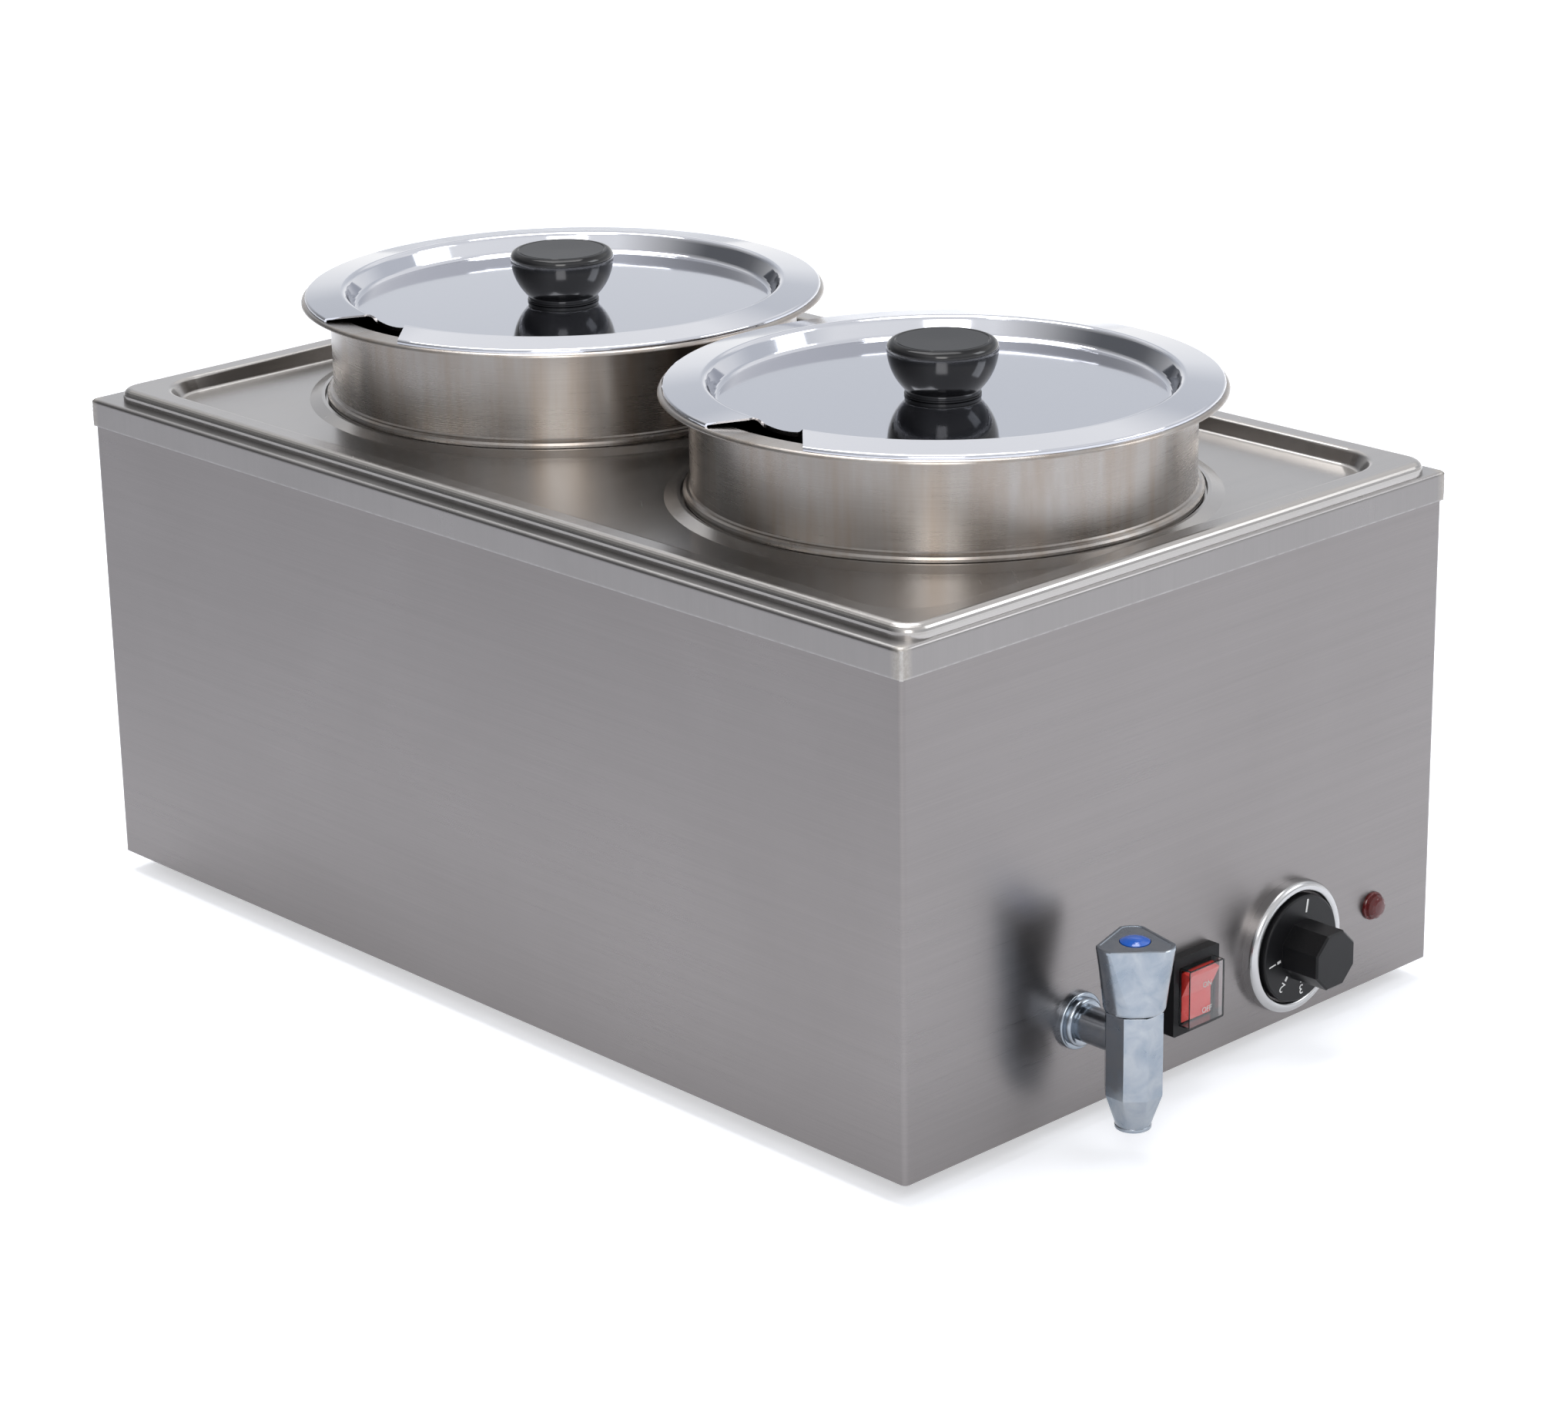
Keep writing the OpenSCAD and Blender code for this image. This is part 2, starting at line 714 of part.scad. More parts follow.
// Lids: a sunk disc inside a raised band with a turned-down edge, and a notch for the ladle
module lid(y, turn) {
    crest = lid_r - lid_band_w;
    foot = crest - lid_slope_run;
    low = -lid_sink - lid_sheet - over;
    path = concat([[lid_r, 0]],
        arc([lid_r - lid_edge_r, lid_edge_r / 2], lid_edge_r, 0, lid_edge_turn),
        arc([crest, lid_h - lid_crest_r], lid_crest_r, lid_edge_turn, 90 + lid_slope_turn),
        arc([foot, lid_foot_r - lid_sink], lid_foot_r, lid_slope_turn - 90, -90),
        [[lid_screw_r + screw_gap, -lid_sink]]);
    in = lid_r - notch_depth;
    half = notch_w / 2 - notch_corner_r;
    color("gainsboro") translate([0, y, pot_rim_z]) difference() {
        rotate_extrude() polygon(sheet(path, lid_sheet));
        rotate(turn) translate([0, 0, low]) linear_extrude(lid_h + over - low) polygon(concat(
            [[lid_r + over, -notch_w]],
            arc([in + notch_corner_r, -half], notch_corner_r, 270 - notch_flare, 180),
            arc([in + notch_corner_r, half], notch_corner_r, 180, 90 + notch_flare),
            [[lid_r + over, notch_w]]));
    }
}

module lid_front() {
    lid(pot_y[0], front_notch_turn);
}

module lid_rear() {
    lid(pot_y[1], rear_notch_turn);
}

// Knobs: turned bowls on a narrow neck, with a threaded hole for the screw from below
module knob(y) {
    wide = knob_h * knob_wide_share;
    top_edge_r = min(knob_h - wide, knob_r * (1 - knob_top_r_share));
    waist = knob_h * knob_waist_share;
    step = knob_r - knob_neck_r;
    bowl_r = (pow(wide - waist, 2) + pow(step, 2)) / (2 * step);
    bowl_turn = asin((wide - waist) / bowl_r);
    color("#0d0d0f") translate([0, y, lid_disc_z]) rotate_extrude() polygon(concat(
        [[0, knob_h * knob_bore_share], [lid_screw_r + run_gap, knob_h * knob_bore_share],
         [lid_screw_r + run_gap, 0], [knob_neck_r, 0], [knob_neck_r, knob_h * knob_base_share],
         [knob_neck_r - knob_h * knob_base_share / 2, knob_h * knob_base_share],
         [knob_neck_r - knob_h * knob_base_share / 2, waist]],
        arc([knob_r - bowl_r, wide], bowl_r, -bowl_turn, 0),
        arc([knob_r - top_edge_r, knob_h - top_edge_r], top_edge_r, 0, 90),
        [[0, knob_h]]));
}

module knob_front() {
    knob(pot_y[0]);
}

module knob_rear() {
    knob(pot_y[1]);
}

module lid_screw(y) {
    color("silver") translate([0, y, lid_disc_z - lid_sheet])
        pan_screw(lid_screw_r, knob_h * knob_bore_share + lid_sheet - loose_gap);
}

module lid_screw_front() {
    lid_screw(pot_y[0]);
}

module lid_screw_rear() {
    lid_screw(pot_y[1]);
}

// Tap: eight-sided body with a tapered nozzle, a pipe through the panel and a valve chamber from above
module tap_body() {
    foot_z = foot_h + nozzle_z + taper_h;
    mouth_r = nozzle_bore_r + nozzle_wall;
    corner_turn = 180 / 8;
    color("silver") translate([tap_x, tap_y, 0]) difference() {
        union() {
            hull() {
                translate([0, 0, foot_z]) rotate(corner_turn)
                    cylinder(d = tap_body_af / cos(corner_turn), h = tap_top_z - foot_z, $fn = 8);
                translate([0, 0, foot_h + nozzle_z + nozzle_lip_h - lap / 2])
                    cylinder(r = mouth_r - nozzle_step, h = lap, $fn = hull_facets);
            }
            translate([0, 0, foot_h + nozzle_z]) cylinder(r = mouth_r, h = nozzle_lip_h);
            translate([0, 0, foot_h + tap_z]) rotate([-90, 0, 0])
                cylinder(r = tap_pipe_r, h = tap_reach + casing_sheet + tail_l);
        }
        translate([0, 0, foot_h + nozzle_z - over])
            cylinder(r = nozzle_bore_r, h = valve_seat_z - foot_h - nozzle_z + 2 * over);
        translate([0, 0, valve_seat_z]) cylinder(r = valve_r, h = tap_top_z - valve_seat_z + over);
        translate([0, 0, foot_h + tap_z]) rotate([-90, 0, 0])
            cylinder(r = nozzle_bore_r, h = tap_reach + casing_sheet + tail_l + over);
    }
}

// Headwork: a flanged bush in the valve chamber that carries the plug's stem
module tap_headwork() {
    low = plug_top_z + seat_gap;
    color("goldenrod") translate([tap_x, tap_y, 0]) difference() {
        union() {
            translate([0, 0, low]) cylinder(r = valve_r - run_gap, h = tap_top_z - low);
            translate([0, 0, tap_top_z]) cylinder(r = bonnet_r, h = bonnet_flange_h);
            translate([0, 0, tap_top_z]) cylinder(r = bonnet_neck_r, h = bonnet_h);
        }
        translate([0, 0, low - over])
            cylinder(r = spindle_r + run_gap, h = tap_top_z + bonnet_h - low + 2 * over);
    }
}

// Plug: turns in the chamber, with a port from its side down to the nozzle; shut, the port faces sideways
module tap_plug() {
    low = valve_seat_z + seat_gap;
    pipe_z = foot_h + tap_z;
    color("goldenrod") translate([tap_x, tap_y, 0]) difference() {
        union() {
            translate([0, 0, low]) cylinder(r = valve_r - run_gap, h = plug_top_z - low);
            translate([0, 0, low]) cylinder(r = spindle_r, h = handle_top_z - spindle_drop - low);
        }
        translate([0, 0, low - over]) cylinder(r = plug_port_r, h = pipe_z - low + over);
        translate([0, 0, pipe_z]) rotate([0, 90, 0]) cylinder(r = plug_port_r, h = valve_r + over);
        translate([0, 0, handle_top_z - handle_screw_drop - handle_screw_l - over])
            cylinder(r = handle_screw_r + run_gap, h = handle_screw_l + over);
    }
}

// Handle: a head of three rounded corners that narrows to its foot, hollow under and let in for its button
module handle_outline(out, r) {
    for (i = [0:2])
        rotate(120 * i - 90 + handle_turn) translate([out, 0, 0]) cylinder(r = r, h = lap, $fn = hull_facets);
}

module tap_handle() {
    socket_z = handle_top_z - spindle_drop;
    color("silver") translate([tap_x, tap_y, 0]) difference() {
        hull() {
            translate([0, 0, handle_z])
                handle_outline(handle_foot_out, handle_foot_r - handle_foot_edge);
            translate([0, 0, handle_z + handle_foot_edge])
                handle_outline(handle_foot_out, handle_foot_r);
            translate([0, 0, handle_top_z - handle_top_edge - lap])
                handle_outline(handle_out, handle_corner_r);
            translate([0, 0, handle_top_z - lap])
                handle_outline(handle_out, handle_corner_r - handle_top_edge);
        }
        translate([0, 0, handle_z - over])
            cylinder(r = bonnet_r + loose_gap, h = over + bonnet_h + 2 * loose_gap);
        translate([0, 0, handle_z]) cylinder(r = spindle_r + run_gap, h = socket_z - handle_z);
        translate([0, 0, socket_z - over])
            cylinder(r = handle_screw_r + run_gap, h = spindle_drop + 2 * over);
        translate([0, 0, handle_top_z - handle_screw_drop])
            cylinder(r = handle_screw_r * screw_head_share + loose_gap, h = handle_screw_drop + over);
        translate([0, 0, handle_top_z - button_let_in]) cylinder(r = button_r, h = button_let_in + over);
    }
}

module tap_handle_screw() {
    seat = handle_top_z - handle_screw_drop;
    color("silver") translate([tap_x, tap_y, seat]) difference() {
        union() {
            cylinder(r = handle_screw_r * screw_head_share, h = handle_screw_r);
            translate([0, 0, -handle_screw_l + loose_gap]) cylinder(r = handle_screw_r, h = handle_screw_l);
        }
        translate([0, 0, handle_screw_r / 2])
            cylinder(r = handle_screw_r * driver_share, h = handle_screw_r, $fn = 6);
    }
}

module tap_button() {
    let_in = button_let_in;
    dome_r = (button_r * button_r + button_h * button_h) / (2 * button_h);
    turn = asin((button_r - run_gap) / dome_r);
    color("#1557c8") translate([tap_x, tap_y, handle_top_z]) rotate_extrude() polygon(concat(
        [[0, -let_in], [button_r - run_gap, -let_in]],
        arc([0, button_h - dome_r], dome_r, 90 - turn, 90)));
}

// Tap fixings: stepped cover ring outside, gasket and locknut inside the panel
module tap_escutcheon() {
    e = escutcheon_edge_r;
    color("silver") on_front(tap_x, tap_z) rotate_extrude() polygon(concat(
        [[tap_pipe_r + run_gap, 0], [escutcheon_r, 0]],
        arc([escutcheon_r - e, escutcheon_h - e], e, 0, 90),
        [[escutcheon_step_r, escutcheon_h]],
        arc([escutcheon_step_r - 2 * e, escutcheon_step_h - 2 * e], 2 * e, 0, 90),
        [[tap_pipe_r + run_gap, escutcheon_step_h]]));
}

module tap_gasket() {
    color("#202020") on_front(tap_x, tap_z) translate([0, 0, -casing_sheet - gasket_h])
        ring(gasket_r, tap_pipe_r + run_gap, gasket_h);
}

module tap_locknut() {
    color("goldenrod") on_front(tap_x, tap_z) translate([0, 0, -casing_sheet - gasket_h - locknut_h])
        hex_nut(locknut_af, tap_pipe_r + run_gap, locknut_h);
}

// Drain: flanged outlet in the well's floor, its seal and nut, and the pipe that bends to the tap's tail
module drain_outlet() {
    floor_z = deck_z - well_depth;
    low = tank_under_z - drain_tail;
    color("goldenrod") translate([tap_x, drain_y, 0]) difference() {
        union() {
            translate([0, 0, floor_z]) cylinder(r = drain_flange_r, h = drain_flange_h);
            translate([0, 0, low]) cylinder(r = drain_r, h = floor_z - low);
        }
        translate([0, 0, low - over]) cylinder(r = tap_pipe_r + run_gap, h = drain_socket + over);
        translate([0, 0, low]) cylinder(r = nozzle_bore_r, h = floor_z + drain_flange_h + over - low);
    }
}

module drain_seal() {
    color("#202020") translate([tap_x, drain_y, tank_under_z - gasket_h])
        ring(drain_flange_r - seal_inset, drain_r + run_gap, gasket_h);
}

module drain_nut() {
    color("goldenrod") translate([tap_x, drain_y, tank_under_z - gasket_h - drain_nut_h])
        hex_nut(drain_nut_af, drain_r + run_gap, drain_nut_h);
}

module drain_pipe() {
    y0 = front_y + casing_sheet + tail_l;
    pipe_z = foot_h + tap_z;
    top = tank_under_z - drain_tail + drain_socket - run_gap;
    color("peru") {
        translate([tap_x, y0, pipe_z]) rotate([-90, 0, 0])
            ring(tap_pipe_r, nozzle_bore_r, drain_y - drain_bend_r - y0);
        translate([tap_x, drain_y - drain_bend_r, pipe_z + drain_bend_r]) rotate([90, 0, 90])
            rotate([0, 0, -90]) rotate_extrude(angle = 90) translate([drain_bend_r, 0]) difference() {
                circle(tap_pipe_r);
                circle(nozzle_bore_r);
            }
        translate([tap_x, drain_y, pipe_z + drain_bend_r])
            ring(tap_pipe_r, nozzle_bore_r, top - pipe_z - drain_bend_r);
    }
}

module drain_sleeve() {
    color("goldenrod") on_front(tap_x, tap_z) translate([0, 0, -casing_sheet - tail_l - sleeve_l / 2])
        ring(sleeve_r, tap_pipe_r + run_gap, sleeve_l);
}

// Heater: one round element in four legs under the well's floor
module heater_element() {
    color("dimgray") {
        for (i = [0:heater_legs - 1]) {
            outer = i == 0 || i == heater_legs - 1;
            y0 = outer ? heater_y0 - heater_bend_r : heater_y0;
            translate([heater_bend_r * (2 * i - heater_legs + 1), y0, heater_z]) rotate([-90, 0, 0])
                cylinder(r = heater_r, h = heater_y1 - y0);
        }
        for (i = [0:heater_legs - 2]) {
            rear = i % 2 == 0;
            translate([heater_bend_r * (2 * i - heater_legs + 2), rear ? heater_y1 : heater_y0, heater_z])
                rotate(rear ? 0 : 180)
                    rotate_extrude(angle = 180) translate([heater_bend_r, 0]) circle(heater_r);
        }
        for (s = [-1, 1])
            translate([s * heater_half_w, heater_y0 - heater_bend_r - pin_l, heater_z]) rotate([-90, 0, 0])
                cylinder(r = pin_r, h = pin_l);
    }
}

// Clamp plate, its studs and nuts, and the blanket under it
module stud_places() {
    for (x = [-1, 1], y = [-1, 0, 1])
        translate([x * heater_half_w * stud_side_share, heater_mid_y + y * well_l * stud_rows_share, 0])
            children();
}

module clamp_area(extra) {
    translate([0, heater_mid_y]) rounded_rect(2 * (heater_half_w + clamp_margin + extra),
        heater_y1 - heater_y0 + 2 * (clamp_front + extra), clamp_corner_r);
}

module clamp_plate() {
    color("lightgray") difference() {
        translate([0, 0, clamp_z]) linear_extrude(clamp_sheet) clamp_area(0);
        stud_places() translate([0, 0, clamp_z - over])
            cylinder(r = stud_r + screw_gap, h = clamp_sheet + 2 * over);
    }
}

module well_studs() {
    low = clamp_z - stud_nut_h - thread_end;
    color("silver") stud_places() translate([0, 0, low]) cylinder(r = stud_r, h = tank_under_z - low);
}

module stud_nuts() {
    color("silver") stud_places() translate([0, 0, clamp_z - stud_nut_h])
        hex_nut(stud_nut_af, stud_r + run_gap, stud_nut_h);
}

module heat_blanket() {
    color("khaki") difference() {
        translate([0, 0, clamp_z - blanket_h]) linear_extrude(blanket_h) clamp_area(-blanket_inset);
        stud_places() translate([0, 0, clamp_z - blanket_h - over])
            cylinder(r = blanket_hole_r, h = blanket_h + 2 * over);
        translate([0, front_y + cutout_back, clamp_z - blanket_h - over])
            cylinder(r = cutout_r + cutout_gap, h = blanket_h + 2 * over);
    }
}

// Overheat cut-out: a small disc switch under the clamp plate, with two tabs
module overheat_cutout() {
    color("#e8e0c8") translate([0, front_y + cutout_back, clamp_z - cutout_h]) {
        cylinder(r = cutout_r, h = cutout_h);
        for (s = [-1, 1])
            translate([s * cutout_r / 2, 0, -tab_l / 2]) cube([tab_t, tab_w, tab_l], center = true);
    }
}

// Thermostat: body, mounting plate and bush behind the panel, with its tabs, bulb and capillary
module thermostat_body() {
    color("#d8d0b8") on_front(dial_x, dial_z) translate([0, 0, -casing_sheet]) difference() {
        union() {
            translate([0, 0, -thermostat_plate_h]) linear_extrude(thermostat_plate_h)
                rounded_rect(thermostat_w, thermostat_h, thermostat_edge_r);
            translate([0, 0, -thermostat_depth]) linear_extrude(thermostat_depth) rounded_rect(
                thermostat_w - 2 * thermostat_inset, thermostat_h - 2 * thermostat_inset, thermostat_edge_r);
            cylinder(r = bushing_r, h = casing_sheet + bushing_proud);
            for (s = [-1, 1])
                translate([s * thermostat_w / 4, 0, -thermostat_depth - tab_l / 2])
                    cube([tab_t, tab_w, tab_l], center = true);
        }
        translate([0, 0, -thermostat_depth / 2])
            cylinder(r = shaft_r + run_gap, h = thermostat_depth);
        for (s = [-1, 1])
            translate([s * screw_pitch / 2, 0, -panel_screw_l - over])
                cylinder(r = panel_screw_r + run_gap, h = panel_screw_l + 2 * over);
    }
}

module thermostat_screws() {
    for (s = [-1, 1])
        color("silver") on_front(dial_x + s * screw_pitch / 2, dial_z) rotate([180, 0, 0])
            pan_screw(panel_screw_r, panel_screw_l);
}

module thermostat_bulb() {
    z = tank_under_z - seat_gap - bulb_r;
    y0 = heater_y0 - heater_bend_r / 2;
    low = foot_h + capillary_z;
    back = front_y + capillary_back;
    color("peru") {
        translate([bulb_x, y0, z]) rotate([-90, 0, 0]) cylinder(r = bulb_r, h = bulb_l);
        wire([[bulb_x, y0 + lap, z], [bulb_x, back, z], [bulb_x, back, low], [dial_x, back, low],
            [dial_x, back, foot_h + dial_z + tab_w],
            [dial_x, front_y + casing_sheet + thermostat_depth, foot_h + dial_z + tab_w]], capillary_r);
    }
}

// Bright ring round the dial, resting on the panel
module dial_ring() {
    r_in = dial_r + ring_in_gap;
    color("silver") on_front(dial_x, dial_z) rotate_extrude() polygon(concat(
        [[r_in, 0], [ring_r, 0]],
        arc([ring_r - ring_out_edge_r, ring_h - ring_out_edge_r], ring_out_edge_r, 0, 90),
        arc([r_in + ring_in_edge_r, ring_h - ring_in_edge_r], ring_in_edge_r, 90, 180)));
}

// Dial: a skirt with an index line, ticks and numbers, and an eight-sided grip on a flatted shaft
module dial_shaft() {
    low = -casing_sheet - thermostat_depth / 2 + loose_gap;
    top = dial_clear + shaft_let_in;
    color("goldenrod") on_front(dial_x, dial_z) difference() {
        translate([0, 0, low]) cylinder(r = shaft_r, h = top - low);
        translate([-shaft_r - over, shaft_r * shaft_flat_share, dial_clear])
            cube([2 * (shaft_r + over), shaft_r, shaft_let_in + over]);
    }
}

module dial() {
    corner_turn = 180 / 8;
    grip_l = dial_reach - dial_face + lap;
    color("#151517") on_front(dial_x, dial_z) difference() {
        union() {
            rotate_extrude() polygon(concat([[0, dial_clear], [dial_r, dial_clear]],
                arc([dial_r - dial_edge_r, dial_face - dial_edge_r], dial_edge_r, 0, 90), [[0, dial_face]]));
            hull() {
                translate([0, 0, dial_face - lap]) rotate(corner_turn)
                    cylinder(d = grip_af / cos(corner_turn), h = grip_l - grip_edge, $fn = 8);
                translate([0, 0, dial_reach - lap]) rotate(corner_turn)
                    cylinder(d = (grip_af - 2 * grip_edge) / cos(corner_turn), h = lap, $fn = 8);
            }
        }
        difference() {
            translate([0, 0, dial_clear - over]) cylinder(r = shaft_r + run_gap, h = shaft_let_in + 2 * over);
            translate([-shaft_r - over, shaft_r * shaft_flat_share + run_gap, dial_clear + over])
                cube([2 * (shaft_r + over), shaft_r, shaft_let_in + over]);
        }
    }
}

// Switch: frame and body in one moulding, with a pocket and two holes for the rocker's pivots
module switch_body() {
    tab_z = -casing_sheet - switch_body_depth - tab_l / 2;
    color("#161616") on_front(switch_x, switch_z) difference() {
        union() {
            linear_extrude(switch_proud) rounded_rect(switch_w, switch_h, frame_edge_r);
            translate([0, 0, -casing_sheet - switch_body_depth])
                linear_extrude(switch_body_depth + casing_sheet + lap)
                    square([switch_body_w, switch_body_h], center = true);
            for (x = [-1, 1], y = [-1, 1])
                translate([x * switch_body_w / 4, y * switch_body_h / 4, tab_z])
                    cube([tab_w, tab_t, tab_l], center = true);
        }
        translate([0, 0, switch_proud - pocket_depth]) linear_extrude(pocket_depth + over)
            square([pocket_w, pocket_h], center = true);
        translate([0, 0, switch_proud - pivot_depth]) rotate([0, 90, 0])
            cylinder(r = pivot_r + run_gap, h = pocket_w + 2 * pivot_l + 2 * rocker_gap, center = true);
    }
}

module switch_rocker() {
    half = pocket_h / 2 - rocker_end_gap;
    rise = half * tan(rocker_tilt);
    w = pocket_w - 2 * rocker_gap;
    back = half * rocker_back_share;
    color("#d8201c") on_front(switch_x, switch_z) translate([0, 0, switch_proud - pivot_depth])
        rotate([rocker_tilt, 0, 0]) {
            rotate([90, 0, 90]) linear_extrude(w, center = true) polygon([
                [0, pivot_depth], [half, pivot_depth + rise], [half, pivot_depth - rocker_edge],
                [back, -rocker_back_depth], [-back, -rocker_back_depth],
                [-half, pivot_depth - rocker_edge], [-half, pivot_depth + rise]]);
            rotate([0, 90, 0]) cylinder(r = pivot_r, h = w + 2 * pivot_l, center = true);
        }
}

module switch_cover() {
    inner_w = cover_w - 2 * cover_wall;
    inner_h = cover_h - 2 * cover_wall;
    color([0.9, 0.95, 1, 0.35]) on_front(switch_x, switch_z) translate([0, 0, switch_proud]) difference() {
        linear_extrude(cover_proud) rounded_rect(cover_w, cover_h, cover_corner_r);
        translate([0, 0, -over]) linear_extrude(cover_proud - cover_wall + over)
            rounded_rect(inner_w, inner_h, cover_corner_r - cover_wall);
    }
}

// Lamp: red lens on the panel, body through it and a nut behind
module lamp_lens() {
    band = lamp_proud * lamp_band_share;
    edge = lamp_r / 2;
    color("#b01010") on_front(lamp_x, lamp_z) rotate_extrude() polygon(concat(
        [[0, 0], [lamp_r, 0], [lamp_r, band]],
        arc([lamp_r - edge, band], edge, 0, lamp_turn),
        [[lamp_r * lamp_top_share, lamp_proud], [0, lamp_proud]]));
}

module lamp_body() {
    color("#e8e8e8") on_front(lamp_x, lamp_z) translate([0, 0, -lamp_body_l])
        cylinder(r = lamp_body_r, h = lamp_body_l);
}

module lamp_nut() {
    color("#e8e8e8") on_front(lamp_x, lamp_z) translate([0, 0, -casing_sheet - lamp_nut_h])
        hex_nut(lamp_nut_af, lamp_body_r + run_gap, lamp_nut_h);
}

// Cable gland: hexagon and dome outside the rear wall, thread and locknut inside
module on_rear(x, z) {
    translate([x, rear_y, foot_h + z]) rotate([-90, 0, 0]) children();
}

module cable_gland() {
    length = gland_reach + casing_sheet + gland_thread_l;
    color("#1a1a1a") on_rear(gland_x, gland_z) difference() {
        union() {
            cylinder(d = gland_hex_af / cos(30), h = gland_hex_h, $fn = 6);
            translate([0, 0, -casing_sheet - gland_thread_l])
                cylinder(r = gland_thread_r, h = casing_sheet + gland_thread_l + lap);
            rotate_extrude() polygon([[0, lap], [gland_dome_r, lap],
                [gland_dome_r, gland_reach * gland_dome_share],
                [gland_dome_top_r, gland_reach], [0, gland_reach]]);
        }
        translate([0, 0, -casing_sheet - gland_thread_l - over])
            cylinder(r = gland_bore_r, h = length + 2 * over);
    }
}

module gland_locknut() {
    color("#1a1a1a") on_rear(gland_x, gland_z) translate([0, 0, -casing_sheet - gland_nut_h])
        hex_nut(gland_nut_af, gland_thread_r + run_gap, gland_nut_h);
}

// Terminal block and earth point on the base plate
module terminal_block() {
    pitch = block_w / block_poles;
    color("ivory") translate([block_x, rear_y - block_back, base_top]) difference() {
        translate([0, 0, block_h / 2]) cube([block_w, block_l, block_h], center = true);
        for (i = [0:block_poles - 1]) {
            x = (i - (block_poles - 1) / 2) * pitch;
            translate([x, 0, block_h / 2]) rotate([90, 0, 0])
                cylinder(r = block_hole_r, h = block_l + 2 * over, center = true);
            for (s = [-1, 1])
                translate([x, s * block_l / 4, block_h / 2])
                    cylinder(r = block_screw_r + run_gap, h = block_h);
        }
    }
}

module terminal_screws() {
    pitch = block_w / block_poles;
    color("silver") for (i = [0:block_poles - 1], s = [-1, 1])
        translate([block_x + (i - (block_poles - 1) / 2) * pitch, rear_y - block_back + s * block_l / 4,
            base_top + block_h / 2 + block_hole_r + seat_gap])
            cylinder(r = block_screw_r, h = block_h / 2 - block_hole_r - block_screw_drop);
}

module earth_stud() {
    color("silver") translate([earth_x, rear_y - earth_back, base_top])
        cylinder(r = foot_screw_r, h = earth_h);
}

module earth_nut() {
    color("goldenrod") translate([earth_x, rear_y - earth_back, base_top])
        hex_nut(foot_nut_af, foot_screw_r + run_gap, foot_nut_h);
}

casing();
base_plate();
base_screws();
feet();
foot_screws();
foot_nuts();
deck_and_well();
adapter_plate();
pot_front();
pot_rear();
lid_front();
lid_rear();
knob_front();
knob_rear();
lid_screw_front();
lid_screw_rear();
tap_body();
tap_headwork();
tap_plug();
tap_handle();
tap_handle_screw();
tap_button();
tap_escutcheon();
tap_gasket();
tap_locknut();
drain_outlet();
drain_seal();
drain_nut();
drain_pipe();
drain_sleeve();
heater_element();
clamp_plate();
well_studs();
stud_nuts();
heat_blanket();
overheat_cutout();
thermostat_body();
thermostat_screws();
thermostat_bulb();
dial_ring();
dial_shaft();
dial();
switch_body();
switch_rocker();
switch_cover();
lamp_lens();
lamp_body();
lamp_nut();
cable_gland();
gland_locknut();
terminal_block();
terminal_screws();
earth_stud();
earth_nut();
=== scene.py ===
# %% [markdown]
# # A two-pot bain marie, dressed for a studio picture
# The CAD model fixes every size and place. This lesson gives it its camera, its light, its finishes and the
# fine forms that a solid modeller leaves out. All lengths are metres in the CAD frame: the front faces -Y,
# +X is to the right seen from the front, and the ground is at zero.

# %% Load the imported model
import json
import math
import random

import bmesh
import bpy
from mathutils import Matrix, Vector

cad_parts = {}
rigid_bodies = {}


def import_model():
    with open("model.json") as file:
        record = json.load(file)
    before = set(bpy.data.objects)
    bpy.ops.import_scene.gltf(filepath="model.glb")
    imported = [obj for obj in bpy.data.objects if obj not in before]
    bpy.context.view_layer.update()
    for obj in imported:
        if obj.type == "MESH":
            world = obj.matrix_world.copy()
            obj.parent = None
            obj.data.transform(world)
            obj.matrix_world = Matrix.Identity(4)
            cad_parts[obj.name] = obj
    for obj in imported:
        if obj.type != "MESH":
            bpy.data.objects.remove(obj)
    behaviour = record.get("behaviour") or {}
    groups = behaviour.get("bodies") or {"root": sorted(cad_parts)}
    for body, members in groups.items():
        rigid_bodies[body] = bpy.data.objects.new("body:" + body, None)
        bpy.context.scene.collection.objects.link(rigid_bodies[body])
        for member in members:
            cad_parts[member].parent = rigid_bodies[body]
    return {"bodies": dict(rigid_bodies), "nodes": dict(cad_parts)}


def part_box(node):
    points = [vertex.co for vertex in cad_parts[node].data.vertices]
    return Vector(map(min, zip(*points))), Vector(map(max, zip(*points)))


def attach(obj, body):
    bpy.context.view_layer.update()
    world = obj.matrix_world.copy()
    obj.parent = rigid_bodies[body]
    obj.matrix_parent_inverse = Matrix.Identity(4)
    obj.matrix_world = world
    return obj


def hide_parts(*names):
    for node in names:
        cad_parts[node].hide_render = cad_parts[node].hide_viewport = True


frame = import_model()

kept = set(frame["nodes"].values()) | set(frame["bodies"].values())
for leftover in [o for o in bpy.data.objects if o not in kept]:
    bpy.data.objects.remove(leftover)
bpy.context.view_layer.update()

# %% [markdown]
# ## The places that the pieces share
# A piece that sits on the front panel or in a knob takes its place from the CAD solid that carries it, so
# it stays there when the CAD changes.

# %% Read the places from the CAD
def middle(node):
    low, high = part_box(node)
    return (low + high) / 2


casing_low, casing_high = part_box("casing")
front_y = casing_low.y
deck_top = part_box("deck_and_well")[1].z
pot_centres = {end: middle("pot_" + end) for end in ("front", "rear")}
dial_mid = middle("dial")
lamp_mid = middle("lamp_lens")
tap_axis = middle("tap_plug")
print("front panel at", round(front_y, 4), "deck top at", round(deck_top, 4))

